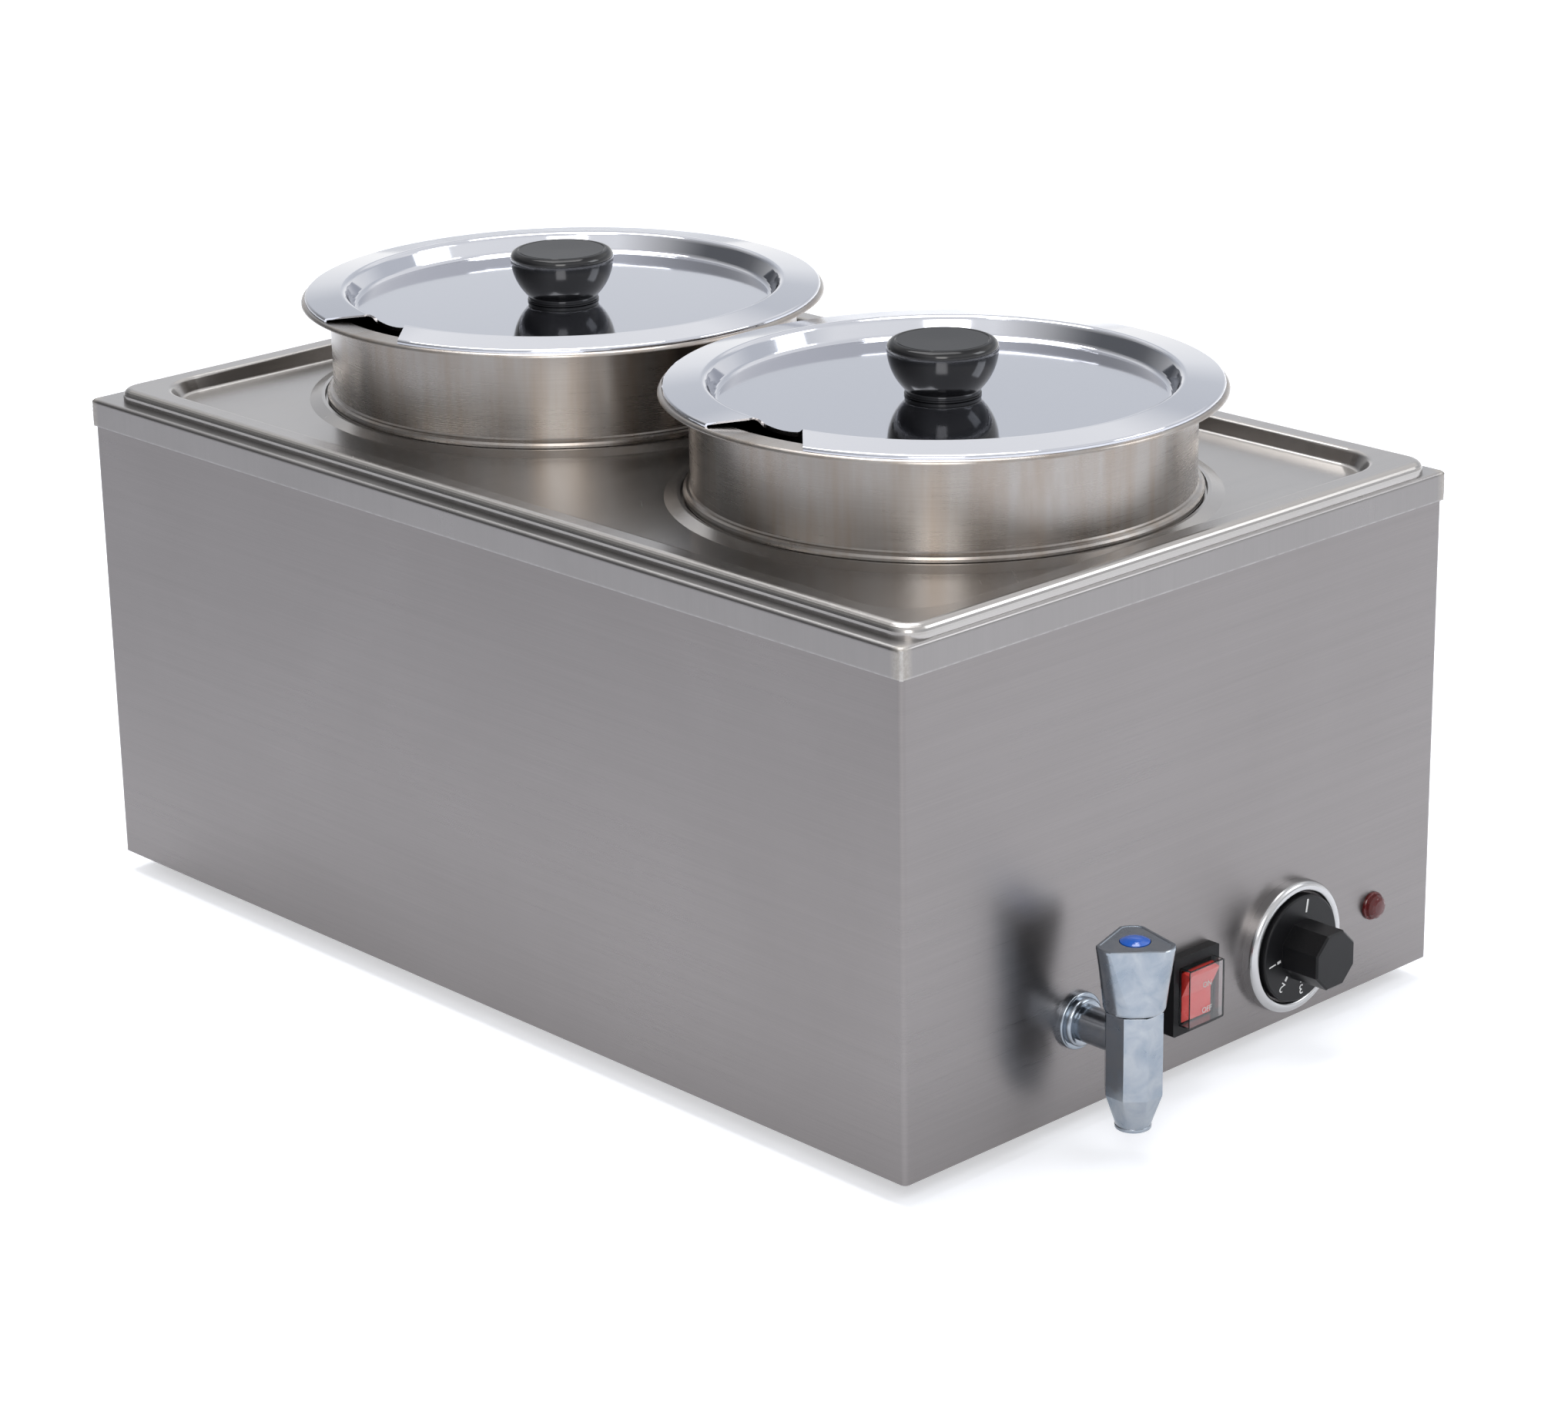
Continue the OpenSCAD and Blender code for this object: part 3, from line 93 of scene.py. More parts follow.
# %% [markdown]
# ## Camera
# The place, the turn and the lens were worked out from the straight edges and circles of the photograph.
# The camera's own axes are written as a matrix: its X is the picture's right, its Y is up, and it looks
# along -Z. Setting angles by hand would work too, but a matrix takes the fitted numbers as they are.

# %% Set up the camera
def add_object(name, data):
    piece = bpy.data.objects.new(name, data)
    bpy.context.scene.collection.objects.link(piece)
    return piece


photo_size = (2036, 1820)
camera_place = Vector((-1.26503, -1.34923, 0.76189))
camera_yaw, camera_pitch, camera_roll = 0.7449, 0.3344, -0.0213
focal_pixels = 5496.23
principal_point = (954.26, 896.07)
sensor_width = 36.0

gaze = Vector((math.sin(camera_yaw) * math.cos(camera_pitch),
               math.cos(camera_yaw) * math.cos(camera_pitch), -math.sin(camera_pitch)))
level_right = gaze.cross(Vector((0, 0, 1))).normalized()
level_up = level_right.cross(gaze)
c, s = math.cos(camera_roll), math.sin(camera_roll)
camera_right = level_right * c + level_up * s
camera_up = level_up * c - level_right * s

camera_data = bpy.data.cameras.new("camera")
camera_data.sensor_width = sensor_width
camera_data.lens = focal_pixels * sensor_width / photo_size[0]
camera_data.shift_x = (photo_size[0] / 2 - principal_point[0]) / photo_size[0]
camera_data.shift_y = (principal_point[1] - photo_size[1] / 2) / photo_size[0]
camera_data.clip_end = 60
camera = add_object("camera", camera_data)
camera.matrix_world = Matrix((
    (camera_right.x, camera_up.x, -gaze.x, camera_place.x),
    (camera_right.y, camera_up.y, -gaze.y, camera_place.y),
    (camera_right.z, camera_up.z, -gaze.z, camera_place.z),
    (0, 0, 0, 1)))
bpy.context.scene.camera = camera
bpy.context.scene.view_settings.view_transform = "Standard"
print("lens", round(camera_data.lens, 2), "mm")

# %% [markdown]
# ## Small helpers for shader nodes
# A material is a graph of nodes. A few short helpers keep the lesson readable: `feed` gives a socket a
# value or a link, `put` adds a node with its values, and the others write a sum or a pattern in one line. A
# group is a graph with named inputs and outputs, made once and placed in many materials, so that all the
# steel shares one kind of grain.

# %% Node helpers
def feed(tree, socket, value):
    """Give a socket a number, a colour or what another node puts out."""
    if isinstance(value, bpy.types.NodeSocket):
        tree.links.new(value, socket)
    elif socket.type == "RGBA" and len(value) == 3:
        socket.default_value = (*value, 1.0)
    else:
        socket.default_value = value


def give(tree, node, **values):
    for name, value in values.items():
        feed(tree, node.inputs[name.replace("_", " ")], value)


def put(tree, kind, **values):
    """Add a node. A value goes to its input of that name or, if it has none, to its setting."""
    node = tree.nodes.new("ShaderNode" + kind)
    for name, value in values.items():
        if name.replace("_", " ") in node.inputs.keys():
            give(tree, node, **{name: value})
        else:
            setattr(node, name, value)
    return node


def math_node(tree, operation, a, b=0.0, clamp=False):
    node = put(tree, "Math", operation=operation, use_clamp=clamp)
    feed(tree, node.inputs[0], a)
    feed(tree, node.inputs[1], b)
    return node.outputs[0]


def plus(tree, a, b):
    return math_node(tree, "ADD", a, b)


def minus(tree, a, b):
    return math_node(tree, "SUBTRACT", a, b)


def times(tree, a, b):
    return math_node(tree, "MULTIPLY", a, b)


def vector_node(tree, operation, a, b=None, scale=None):
    node = put(tree, "VectorMath", operation=operation)
    for socket, value in zip(node.inputs, (a, b, None, scale)):
        if value is not None:
            feed(tree, socket, value)
    return node.outputs["Value" if operation in ("LENGTH", "DOT_PRODUCT") else "Vector"]


def spread(tree, value, low, high, to_low, to_high):
    return put(tree, "MapRange", Value=value, From_Min=low, From_Max=high, To_Min=to_low,
               To_Max=to_high).outputs["Result"]


def noise(tree, place, scale=1.0, **values):
    return put(tree, "TexNoise", Vector=place, Scale=scale, **values).outputs["Fac"]


def here(tree):
    return put(tree, "TexCoord").outputs["Object"]


def facing(tree):
    return put(tree, "NewGeometry").outputs["Normal"]


def parts_of(tree, vector):
    return put(tree, "SeparateXYZ", Vector=vector).outputs


def vector_of(tree, x, y, z=0.0):
    return put(tree, "CombineXYZ", X=x, Y=y, Z=z).outputs[0]


def tone_of(tree, height, width):
    """Turn a height from 0 to 1 into a brightness of 1, give or take the width."""
    return plus(tree, times(tree, times(tree, minus(tree, height, 0.5), width), 2.0), 1.0)


def make_group(name, inputs, outputs):
    group = bpy.data.node_groups.new(name, "ShaderNodeTree")
    for label, kind, value in inputs:
        socket = group.interface.new_socket(name=label, in_out="INPUT", socket_type="NodeSocket" + kind)
        socket.default_value = value
    for label in outputs:
        group.interface.new_socket(name=label, in_out="OUTPUT", socket_type="NodeSocketFloat")
    return group, group.nodes.new("NodeGroupInput").outputs, group.nodes.new("NodeGroupOutput")


# %% [markdown]
# ## Straight brushed grain
# Sheet steel is brushed by a belt that leaves long fine lines. A noise that is stretched far along one axis
# looks the same. An image would do it as well, but a noise has no seams and no size limit. The lines run
# along the axis with the small number in `Stretch`.

# %% Group: straight grain
straight_grain, ins, out = make_group(
    "straight_grain", [("Stretch", "Vector", (6.0, 6.0, 1500.0)), ("Tone Width", "Float", 0.08)],
    ["Height", "Tone"])
g = straight_grain
fine_share = 0.65
stretched = vector_node(g, "MULTIPLY", here(g), ins["Stretch"])
fine = noise(g, stretched, Detail=4.0, Roughness=0.7)
coarse = noise(g, vector_node(g, "SCALE", stretched, scale=0.12), Detail=2.0, Roughness=0.5)
both = plus(g, times(g, fine, fine_share), times(g, coarse, 1.0 - fine_share))
give(g, out, Height=both, Tone=tone_of(g, both, ins["Tone Width"]))
print("group", straight_grain.name, "has", len(straight_grain.nodes), "nodes")

# %% [markdown]
# ## Round brushed grain
# A pot is brushed while it spins, so its lines run round it. The noise is fed with the direction from the
# axis (which changes slowly) and with the height and the radius (which change fast). Working with the
# direction instead of an angle leaves no seam where the angle starts again. A second, coarse noise that
# hardly changes with the height gives upright streaks, the mask for a painted warm reflection on the pots,
# and the radius is passed on for the lids.

# %% Group: round grain
round_grain, ins, out = make_group(
    "round_grain",
    [("Centre", "Vector", (0.0, 0.0, 0.0)), ("Across", "Float", 1800.0), ("Round", "Float", 5.0),
     ("Tone Width", "Float", 0.08)],
    ["Height", "Tone", "Radius", "Streak"])
g = round_grain
place = parts_of(g, vector_node(g, "SUBTRACT", here(g), ins["Centre"]))
flat = vector_of(g, place["X"], place["Y"])
radius = vector_node(g, "LENGTH", flat)
around = vector_node(g, "SCALE", vector_node(g, "NORMALIZE", flat), scale=ins["Round"])
slow = parts_of(g, around)
fast = times(g, plus(g, place["Z"], radius), ins["Across"])
fine = noise(g, vector_of(g, slow["X"], slow["Y"], fast), Detail=4.0, Roughness=0.65)
upright = parts_of(g, vector_node(g, "SCALE", around, scale=2.2))
column = vector_of(g, upright["X"], upright["Y"], times(g, place["Z"], 4.0))
warm_reflection = noise(g, column, 2.0, Detail=3.0, Roughness=0.6)
give(g, out, Height=fine, Tone=tone_of(g, fine, ins["Tone Width"]), Radius=radius,
     Streak=spread(g, warm_reflection, 0.4, 0.64, 0.0, 1.0))
print("group", round_grain.name, "has", len(round_grain.nodes), "nodes")

# %% [markdown]
# ## Handling marks, scratches, edge wear and dust
# No metal is even. Hands leave soft dull patches, use leaves thin scratches, edges are rubbed bright, and a
# little dust settles on what faces up. Each is a mask from 0 to 1 that a material mixes in at a strength of
# its own. The edge mask compares the true normal with a rounded one: they differ only near an edge.

# %% Group: handling marks
handling, ins, out = make_group("handling", [("Size", "Float", 9.0), ("Contrast", "Float", 1.0)], ["Mask"])
g = handling
cloud = noise(g, here(g), ins["Size"], Detail=5.0, Roughness=0.55, Distortion=0.6)
centred = times(g, minus(g, cloud, 0.5), 2.0)
give(g, out, Mask=math_node(g, "ADD", times(g, centred, ins["Contrast"]), 0.5, clamp=True))

# %% Group: fine scratches
scratches, ins, out = make_group("scratches", [("Density", "Float", 0.5), ("Size", "Float", 1.0)], ["Mask"])
g = scratches
limit = minus(g, 0.86, times(g, ins["Density"], 0.2))
mask = 0.0
for turn, stretch in ((0.5, (700.0, 14.0, 700.0)), (-0.9, (16.0, 760.0, 650.0)), (1.9, (620.0, 11.0, 500.0))):
    turned_place = put(g, "VectorRotate", rotation_type="Z_AXIS", Vector=here(g), Angle=turn).outputs[0]
    sized = vector_node(g, "SCALE", vector_node(g, "MULTIPLY", turned_place, stretch), scale=ins["Size"])
    line = noise(g, sized, Detail=1.0, Roughness=0.4)
    mask = math_node(g, "MAXIMUM", mask, math_node(g, "MULTIPLY", minus(g, line, limit), 12.0, clamp=True))
give(g, out, Mask=mask)

# %% Group: edge wear
edge_wear, ins, out = make_group("edge_wear", [("Width", "Float", 0.001)], ["Mask"])
g = edge_wear
rounded = put(g, "Bevel", samples=4, Radius=ins["Width"]).outputs[0]
near_edge = spread(g, vector_node(g, "DOT_PRODUCT", rounded, facing(g)), 0.98, 0.8, 0.0, 1.0)
patches = spread(g, noise(g, here(g), 260.0, Detail=3.0), 0.3, 0.6, 0.25, 1.0)
give(g, out, Mask=times(g, near_edge, patches))

# %% Group: settled dust
dust, ins, out = make_group("dust", [("Amount", "Float", 0.2)], ["Mask"])
g = dust
facing_up = spread(g, parts_of(g, facing(g))["Z"], 0.4, 1.0, 0.0, 1.0)
specks = spread(g, noise(g, here(g), 900.0, Detail=3.0, Roughness=0.8), 0.52, 0.75, 0.0, 1.0)
give(g, out, Mask=times(g, times(g, facing_up, specks), ins["Amount"]))
print("groups:", [group.name for group in bpy.data.node_groups])

# %% [markdown]
# ## One recipe for metals
# Every metal here is a fully metallic Principled BSDF. What tells one from another is its colour, how rough
# it is and in which direction its grain runs. Brushed metal spreads a highlight across its lines, so the
# recipe turns the anisotropy by a quarter: the tangent runs round the object, the spread goes up and down.
# One argument multiplies a warm tint into the colour in upright bands: a painted reflection. `dome` tilts the
# normal outwards past a radius, where a disc falls away.

# %% Metal recipe
def blank_material(name):
    material = bpy.data.materials.new(name)
    material.use_nodes = True
    tree = material.node_tree
    tree.nodes.clear()
    bsdf = put(tree, "BsdfPrincipled")
    put(tree, "OutputMaterial", Surface=bsdf.outputs[0])
    return material, tree, bsdf


def use_group(tree, group, **values):
    node = tree.nodes.new("ShaderNodeGroup")
    node.node_tree = group
    give(tree, node, **values)
    return node.outputs


def mix(tree, kind, sockets, values, **settings):
    node = put(tree, "Mix", data_type=kind, **settings)
    for number, value in zip(sockets, values):
        feed(tree, node.inputs[number], value)
    return node.outputs


def mix_value(tree, factor, first, second):
    return mix(tree, "FLOAT", (0, 2, 3), (factor, first, second))[0]


def mix_colour(tree, factor, first, second, blend="MIX"):
    return mix(tree, "RGBA", (0, 6, 7), (factor, first, second), blend_type=blend)[2]


def grey(tree, value):
    return put(tree, "CombineColor", Red=value, Green=value, Blue=value).outputs[0]


def bump(tree, bsdf, height, distance):
    node = put(tree, "Bump", Strength=1.0, Distance=distance, Height=height)
    give(tree, bsdf, Normal=node.outputs[0])
    return node


def brighter(colour, by):
    return tuple(min(1.0, v * by) for v in colour)


# A warm tint that paints the reflection of warm surroundings into the pots' walls, in upright bands.
painted_warm_reflection = (0.84, 0.74, 0.65)
smoothest = 0.03


def metal(name, colour, rough, rough_width=0.06, grain=None, depth=0.00001, anisotropy=0.0, marks=0.05,
          marks_size=9.0, scratch=0.0, wear=0.0, dull_and_reflection_tint=(0.8, 0.78, 0.76), warm_reflection=0.0, dome=None):
    material, tree, bsdf = blank_material(name)
    give(tree, bsdf, Metallic=1.0, Anisotropic=anisotropy)
    if anisotropy:
        tangent = put(tree, "Tangent", direction_type="RADIAL", axis="Z")
        give(tree, bsdf, Anisotropic_Rotation=0.25, Tangent=tangent.outputs[0])
    lines = grain(tree) if grain else use_group(tree, straight_grain, Stretch=(900.0, 900.0, 900.0))
    spots = use_group(tree, handling, Size=marks_size, Contrast=1.1)["Mask"]
    shade = mix_colour(tree, 1.0, colour, grey(tree, lines["Tone"]), "MULTIPLY")
    # Painted warm reflection: upright bands of a warm tint multiplied into the colour.
    if warm_reflection:
        shade = mix_colour(tree, times(tree, lines["Streak"], warm_reflection), shade, painted_warm_reflection, "MULTIPLY")
    # Handling marks mix in a duller colour. On the pots that colour is warm and also paints a warm
    # reflection.
    shade = mix_colour(tree, times(tree, spots, min(1.0, marks * 4)), shade,
                       tuple(a * b for a, b in zip(colour, dull_and_reflection_tint)))
    rough_now = plus(tree, rough, times(tree, minus(tree, lines["Height"], 0.5), rough_width * 2))
    rough_now = plus(tree, rough_now, times(tree, spots, marks))
    if scratch:
        cut = use_group(tree, scratches, Density=scratch)["Mask"]
        rough_now = plus(tree, rough_now, times(tree, cut, 0.12))
        shade = mix_colour(tree, times(tree, cut, 0.35), shade, brighter(colour, 1.25))
    if wear:
        rub = use_group(tree, edge_wear, Width=wear)["Mask"]
        shade = mix_colour(tree, times(tree, rub, 0.6), shade, brighter(colour, 1.35))
        rough_now = minus(tree, rough_now, times(tree, rub, rough * 0.3))
    give(tree, bsdf, Base_Color=shade, Roughness=math_node(tree, "MAXIMUM", rough_now, smoothest))
    grain_bump = bump(tree, bsdf, lines["Height"], depth)
    if dome:
        start, slope = dome
        past = math_node(tree, "MAXIMUM", minus(tree, lines["Radius"], start), 0.0)
        fall = put(tree, "Bump", Strength=1.0, Distance=1.0, Height=times(tree, past, -slope))
        give(tree, grain_bump, Normal=fall.outputs[0])
    return material


def lines_along(stretch, tone=0.08):
    return lambda tree: use_group(tree, straight_grain, Stretch=stretch, Tone_Width=tone)


def lines_round(centre, across, tone, slow):
    return lambda tree: use_group(tree, round_grain, Centre=(centre.x, centre.y, 0.0), Across=across,
                                  Tone_Width=tone, Round=slow)


# %% [markdown]
# ## Steel of the housing
# The wrapped casing is brushed along its length: the lines lie level on all four sides. The adapter plate
# was pressed from brighter sheet and has been wiped many times, so it is smoother and has fine scratches.

# %% Casing and plate steel
casing_steel = metal("brushed_casing_steel", (0.216, 0.203, 0.201), 0.27, depth=0.00002, anisotropy=0.7,
                     grain=lines_along((11.0, 11.0, 2300.0), 0.16), marks=0.05, marks_size=6.0, wear=0.0012)
plate_steel = metal("pressed_plate_steel", (0.39, 0.376, 0.364), 0.2, depth=0.000012,
                    grain=lines_along((6.0, 1500.0, 1500.0), 0.12), marks=0.06, marks_size=7.0, scratch=0.3,
                    wear=0.0015)
print("made", casing_steel.name, plate_steel.name)

# %% [markdown]
# ## Deck steel
# The deck's flat margins keep the sheet's grain. Its skirt was ground across after the corners were welded,
# so there the lines stand upright, and at the four corners the grinder left a rough patch. The normal tells
# flat from upright, and the distance from the corners tells where the weld was. The normal also paints light
# and shade: the flat margins are coloured lighter and the upright skirt darker.

# %% Deck steel
deck_low, deck_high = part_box("deck_and_well")
deck_mid = (deck_low + deck_high) / 2
weld_reach = 0.0065
# Painted light and shade: the flat margins get a lighter colour and the upright skirt a darker one than one
# steel would have.
lit_flat_steel, shaded_upright_steel = (0.325, 0.316, 0.314), (0.232, 0.222, 0.219)
weld_dark, weld_pale, rubbed_steel = (0.2, 0.18, 0.16), (0.5, 0.48, 0.45), (0.58, 0.575, 0.57)

deck_steel, tree, bsdf = blank_material("ground_deck_steel")
flat_lines = use_group(tree, straight_grain, Stretch=(1500.0, 6.0, 6.0), Tone_Width=0.14)
upright_lines = use_group(tree, straight_grain, Stretch=(2600.0, 2600.0, 12.0), Tone_Width=0.07)
upness = math_node(tree, "ABSOLUTE", parts_of(tree, facing(tree))["Z"])
is_flat = spread(tree, upness, 0.5, 0.9, 0.0, 1.0)
place = parts_of(tree, here(tree))


def near_end(axis, mid, half):
    away = math_node(tree, "ABSOLUTE", minus(tree, place[axis], mid))
    return spread(tree, away, half - weld_reach, half - weld_reach * 0.5, 0.0, 1.0)


weld_mask = times(tree, near_end("X", deck_mid.x, deck_high.x - deck_mid.x),
                  near_end("Y", deck_mid.y, deck_high.y - deck_mid.y))
tone, height = (mix_value(tree, is_flat, upright_lines[kind], flat_lines[kind])
                for kind in ("Tone", "Height"))
spots = use_group(tree, handling, Size=14.0, Contrast=1.2)["Mask"]
ground = noise(tree, here(tree), 700.0, Detail=4.0, Roughness=0.7)
# The colour follows the facing: painted light on the flat margins, painted shade on the upright skirt.
sheet_colour = mix_colour(tree, 1.0, mix_colour(tree, is_flat, shaded_upright_steel, lit_flat_steel), grey(tree, tone),
                          "MULTIPLY")
welded = mix_colour(tree, times(tree, weld_mask, 0.75), sheet_colour,
                    mix_colour(tree, ground, weld_dark, weld_pale))
rub = use_group(tree, edge_wear, Width=0.0015)["Mask"]
rough_now = plus(tree, plus(tree, 0.26, times(tree, spots, 0.1)), times(tree, weld_mask, 0.14))
give(tree, bsdf, Metallic=1.0, Roughness=rough_now,
     Base_Color=mix_colour(tree, times(tree, rub, 0.5), welded, rubbed_steel))
bump(tree, bsdf, plus(tree, height, times(tree, times(tree, ground, weld_mask), 8.0)), 0.00002)
print("made", deck_steel.name)

# %% [markdown]
# ## Pots, lids and the bright fittings
# The pots are satin and brushed round. Faint warm streaks down the wall are a painted reflection of warm
# surroundings, and their warm dull patches are handling marks and a painted warm reflection. The lids are
# polished to a mirror, with only a breath of round polish marks and wiping smears, and their outer band is
# shaded as if it fell away a little. Chrome on the tap is cast and plated: clear, faintly blue and a little
# cloudy.

# %% Pots, lids, chrome
lid_band = 0.017
band_fall = 0.07
pot_steel = {}
lid_steel = {}
for end, centre in pot_centres.items():
    lid_low, lid_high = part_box("lid_" + end)
    band_start = (lid_high.x - lid_low.x) / 2 - lid_band
    # The pots' warm dull patches are handling marks and a painted warm reflection. Their warm streaks are a
    # painted reflection.
    pot_steel[end] = metal("spun_pot_steel_" + end, (0.34, 0.322, 0.308), 0.24, depth=0.000004,
                           anisotropy=0.75, grain=lines_round(centre, 1500.0, 0.12, 2.5), marks=0.08,
                           marks_size=12.0, dull_and_reflection_tint=(0.74, 0.68, 0.62), warm_reflection=0.65)
    lid_steel[end] = metal("polished_lid_steel_" + end, (0.52, 0.53, 0.57), 0.05, rough_width=0.008,
                           grain=lines_round(centre, 2400.0, 0.02, 9.0), depth=0.0000008, marks=0.03,
                           marks_size=18.0, dull_and_reflection_tint=(0.95, 0.95, 0.95), wear=0.0008,
                           dome=(band_start, band_fall))
tap_chrome = metal("cast_chrome", (0.33, 0.352, 0.38), 0.09, rough_width=0.02, depth=0.000002, marks=0.22,
                   marks_size=110.0, dull_and_reflection_tint=(0.62, 0.7, 0.78), wear=0.0007)
ring_chrome = metal("spun_chrome", (0.44, 0.44, 0.445), 0.22, rough_width=0.01,
                    grain=lines_along((60.0, 60.0, 60.0), 0.02), depth=0.0000002, marks=0.05, marks_size=40.0)
print("made", [m.name for m in (*pot_steel.values(), *lid_steel.values(), tap_chrome, ring_chrome)])

# %% [markdown]
# ## Metals inside and underneath
# These show only from below or through the vents, but they carry the same care: plain mill finish under the
# base, dull aluminium for the clamp, brass and copper with their tarnish, and a heater tube blued by heat.

# %% Inner metals
base_steel = metal("mill_base_steel", (0.46, 0.455, 0.45), 0.38, grain=lines_along((900.0, 7.0, 7.0), 0.15),
                   depth=0.00001, marks=0.1)
fastener_steel = metal("zinc_fastener_steel", (0.5, 0.5, 0.49), 0.3, marks=0.12, marks_size=160.0)
clamp_aluminium = metal("rolled_aluminium", (0.62, 0.62, 0.62), 0.4, marks=0.1,
                        grain=lines_along((6.0, 1100.0, 6.0), 0.1))
brass = metal("turned_brass", (0.68, 0.50, 0.22), 0.24, marks=0.12, marks_size=90.0, dull_and_reflection_tint=(0.62, 0.55, 0.5))
copper = metal("drawn_copper", (0.72, 0.38, 0.25), 0.26, marks=0.14, marks_size=60.0, dull_and_reflection_tint=(0.5, 0.45, 0.5))
heater_metal = metal("blued_heater_tube", (0.22, 0.2, 0.2), 0.42, marks=0.2, marks_size=30.0,
                     dull_and_reflection_tint=(0.5, 0.6, 1.1))
print("made six inner metals")

# %% [markdown]
# ## One recipe for plastics, rubber and fibre
# A moulded part has a faint orange-peel surface, handling marks that change its gloss, dust on what faces
# up and paler edges. The colour hardly changes; the roughness does the work. The knobs' flat tops reflect
# less than their sides, so the normal's height sets how much they reflect.

# %% Plastic recipe
grit_colour = (0.45, 0.44, 0.42)


def moulded(name, colour, rough, peel=0.00001, peel_size=900.0, marks=0.08, marks_size=40.0, dusty=0.12,
            wear_colour=None, **sockets):
    material, tree, bsdf = blank_material(name)
    spots = use_group(tree, handling, Size=marks_size, Contrast=1.2)["Mask"]
    shade = mix_colour(tree, times(tree, spots, 0.25), colour, tuple(v * 0.8 for v in colour))
    rub = use_group(tree, edge_wear, Width=0.0006)["Mask"]
    paler = wear_colour or tuple(min(1.0, v * 1.5 + 0.02) for v in colour)
    shade = mix_colour(tree, times(tree, rub, 0.4), shade, paler)
    grit = use_group(tree, dust, Amount=dusty)["Mask"]
    rough_now = plus(tree, plus(tree, rough, times(tree, spots, marks)), times(tree, grit, 0.5))
    give(tree, bsdf, Base_Color=mix_colour(tree, grit, shade, grit_colour), Roughness=rough_now, **sockets)
    bump(tree, bsdf, noise(tree, here(tree), peel_size, Detail=2.0), peel)
    return material


def only_sides_shine(material, side_level, top_level):
    """Let the flat top of a piece reflect less than its sides."""
    tree = material.node_tree
    up = parts_of(tree, facing(tree))["Z"]
    bsdf = next(node for node in tree.nodes if node.type == "BSDF_PRINCIPLED")
    give(tree, bsdf, Specular_IOR_Level=spread(tree, up, 0.55, 0.97, side_level, top_level))


knob_black = moulded("phenolic_black", (0.006, 0.006, 0.007), 0.09, peel=0.000004, peel_size=300.0,
                     dusty=0.0, wear_colour=(0.012, 0.012, 0.013))
only_sides_shine(knob_black, 0.5, 0.05)
dial_black = moulded("dial_black", (0.007, 0.007, 0.008), 0.34, peel=0.00002, peel_size=2200.0, dusty=0.03,
                     wear_colour=(0.03, 0.03, 0.032), Specular_IOR_Level=0.2)
switch_black = moulded("switch_black", (0.007, 0.007, 0.008), 0.32, peel=0.000015, peel_size=1800.0,
                       dusty=0.04, wear_colour=(0.03, 0.03, 0.032), Specular_IOR_Level=0.15)
gland_black = moulded("gland_black", (0.014, 0.014, 0.015), 0.45, peel=0.00003, peel_size=1500.0)
rocker_red = moulded("rocker_red", (0.72, 0.028, 0.018), 0.22, peel=0.000005, dusty=0.0,
                     wear_colour=(0.85, 0.2, 0.15), Subsurface_Weight=0.3, Subsurface_Scale=0.003)
lamp_red = moulded("lamp_red", (0.11, 0.0015, 0.002), 0.05, peel=0.000003, dusty=0.0,
                   wear_colour=(0.4, 0.02, 0.02), Transmission_Weight=0.25, IOR=1.49)
lamp_white = moulded("lamp_white", (0.72, 0.72, 0.70), 0.4)
index_blue = moulded("index_blue", (0.004, 0.10, 0.52), 0.16, peel=0.000004, dusty=0.05,
                     wear_colour=(0.03, 0.2, 0.7), Coat_Weight=0.5, Coat_Roughness=0.08)
ceramic_white = moulded("ceramic_cream", (0.68, 0.64, 0.54), 0.34, peel=0.00002)
black_rubber = moulded("black_rubber", (0.02, 0.02, 0.02), 0.7, peel=0.00004, peel_size=1300.0, dusty=0.3)
mark_white = moulded("printed_white", (0.8, 0.8, 0.78), 0.5, peel=0.00001, peel_size=2500.0, dusty=0.0)
cover_mark = moulded("cover_mark", (0.5, 0.48, 0.46), 0.35, dusty=0.0)
print("made the moulded materials")

# %% [markdown]
# ## Clear cover and heat blanket
# The switch's cover is a thin clear box. Clear plastic needs only transmission, a little roughness from
# handling and its index of refraction. The blanket is woven fibre: two crossed waves give its threads.

# %% Clear cover and blanket
cover_clear, tree, bsdf = blank_material("clear_cover")
spots = use_group(tree, handling, Size=120.0, Contrast=1.0)["Mask"]
give(tree, bsdf, Transmission_Weight=1.0, IOR=1.46, Roughness=spread(tree, spots, 0.2, 1.0, 0.02, 0.1),
     Base_Color=mix_colour(tree, spots, (0.98, 0.985, 0.99), (0.94, 0.95, 0.95)))
bump(tree, bsdf, noise(tree, here(tree), 160.0, Detail=2.0), 0.00001)

blanket_fibre, tree, bsdf = blank_material("woven_blanket")
threads = [put(tree, "TexWave", bands_direction=side, Vector=here(tree), Scale=220.0, Distortion=1.5,
               Detail=2.0).outputs["Fac"] for side in ("X", "Y")]
weave = math_node(tree, "MAXIMUM", *threads)
give(tree, bsdf, Base_Color=mix_colour(tree, weave, (0.42, 0.38, 0.28), (0.74, 0.70, 0.58)),
     Roughness=spread(tree, weave, 0.0, 1.0, 0.95, 0.75))
bump(tree, bsdf, weave, 0.0003)
print("made", cover_clear.name, blanket_fibre.name)

# %% [markdown]
# ## Give every CAD solid its finish
# A CAD solid's object keeps its mesh; only the material in its slot changes. The table says which finish
# each solid has, and the loop stops if one was forgotten.

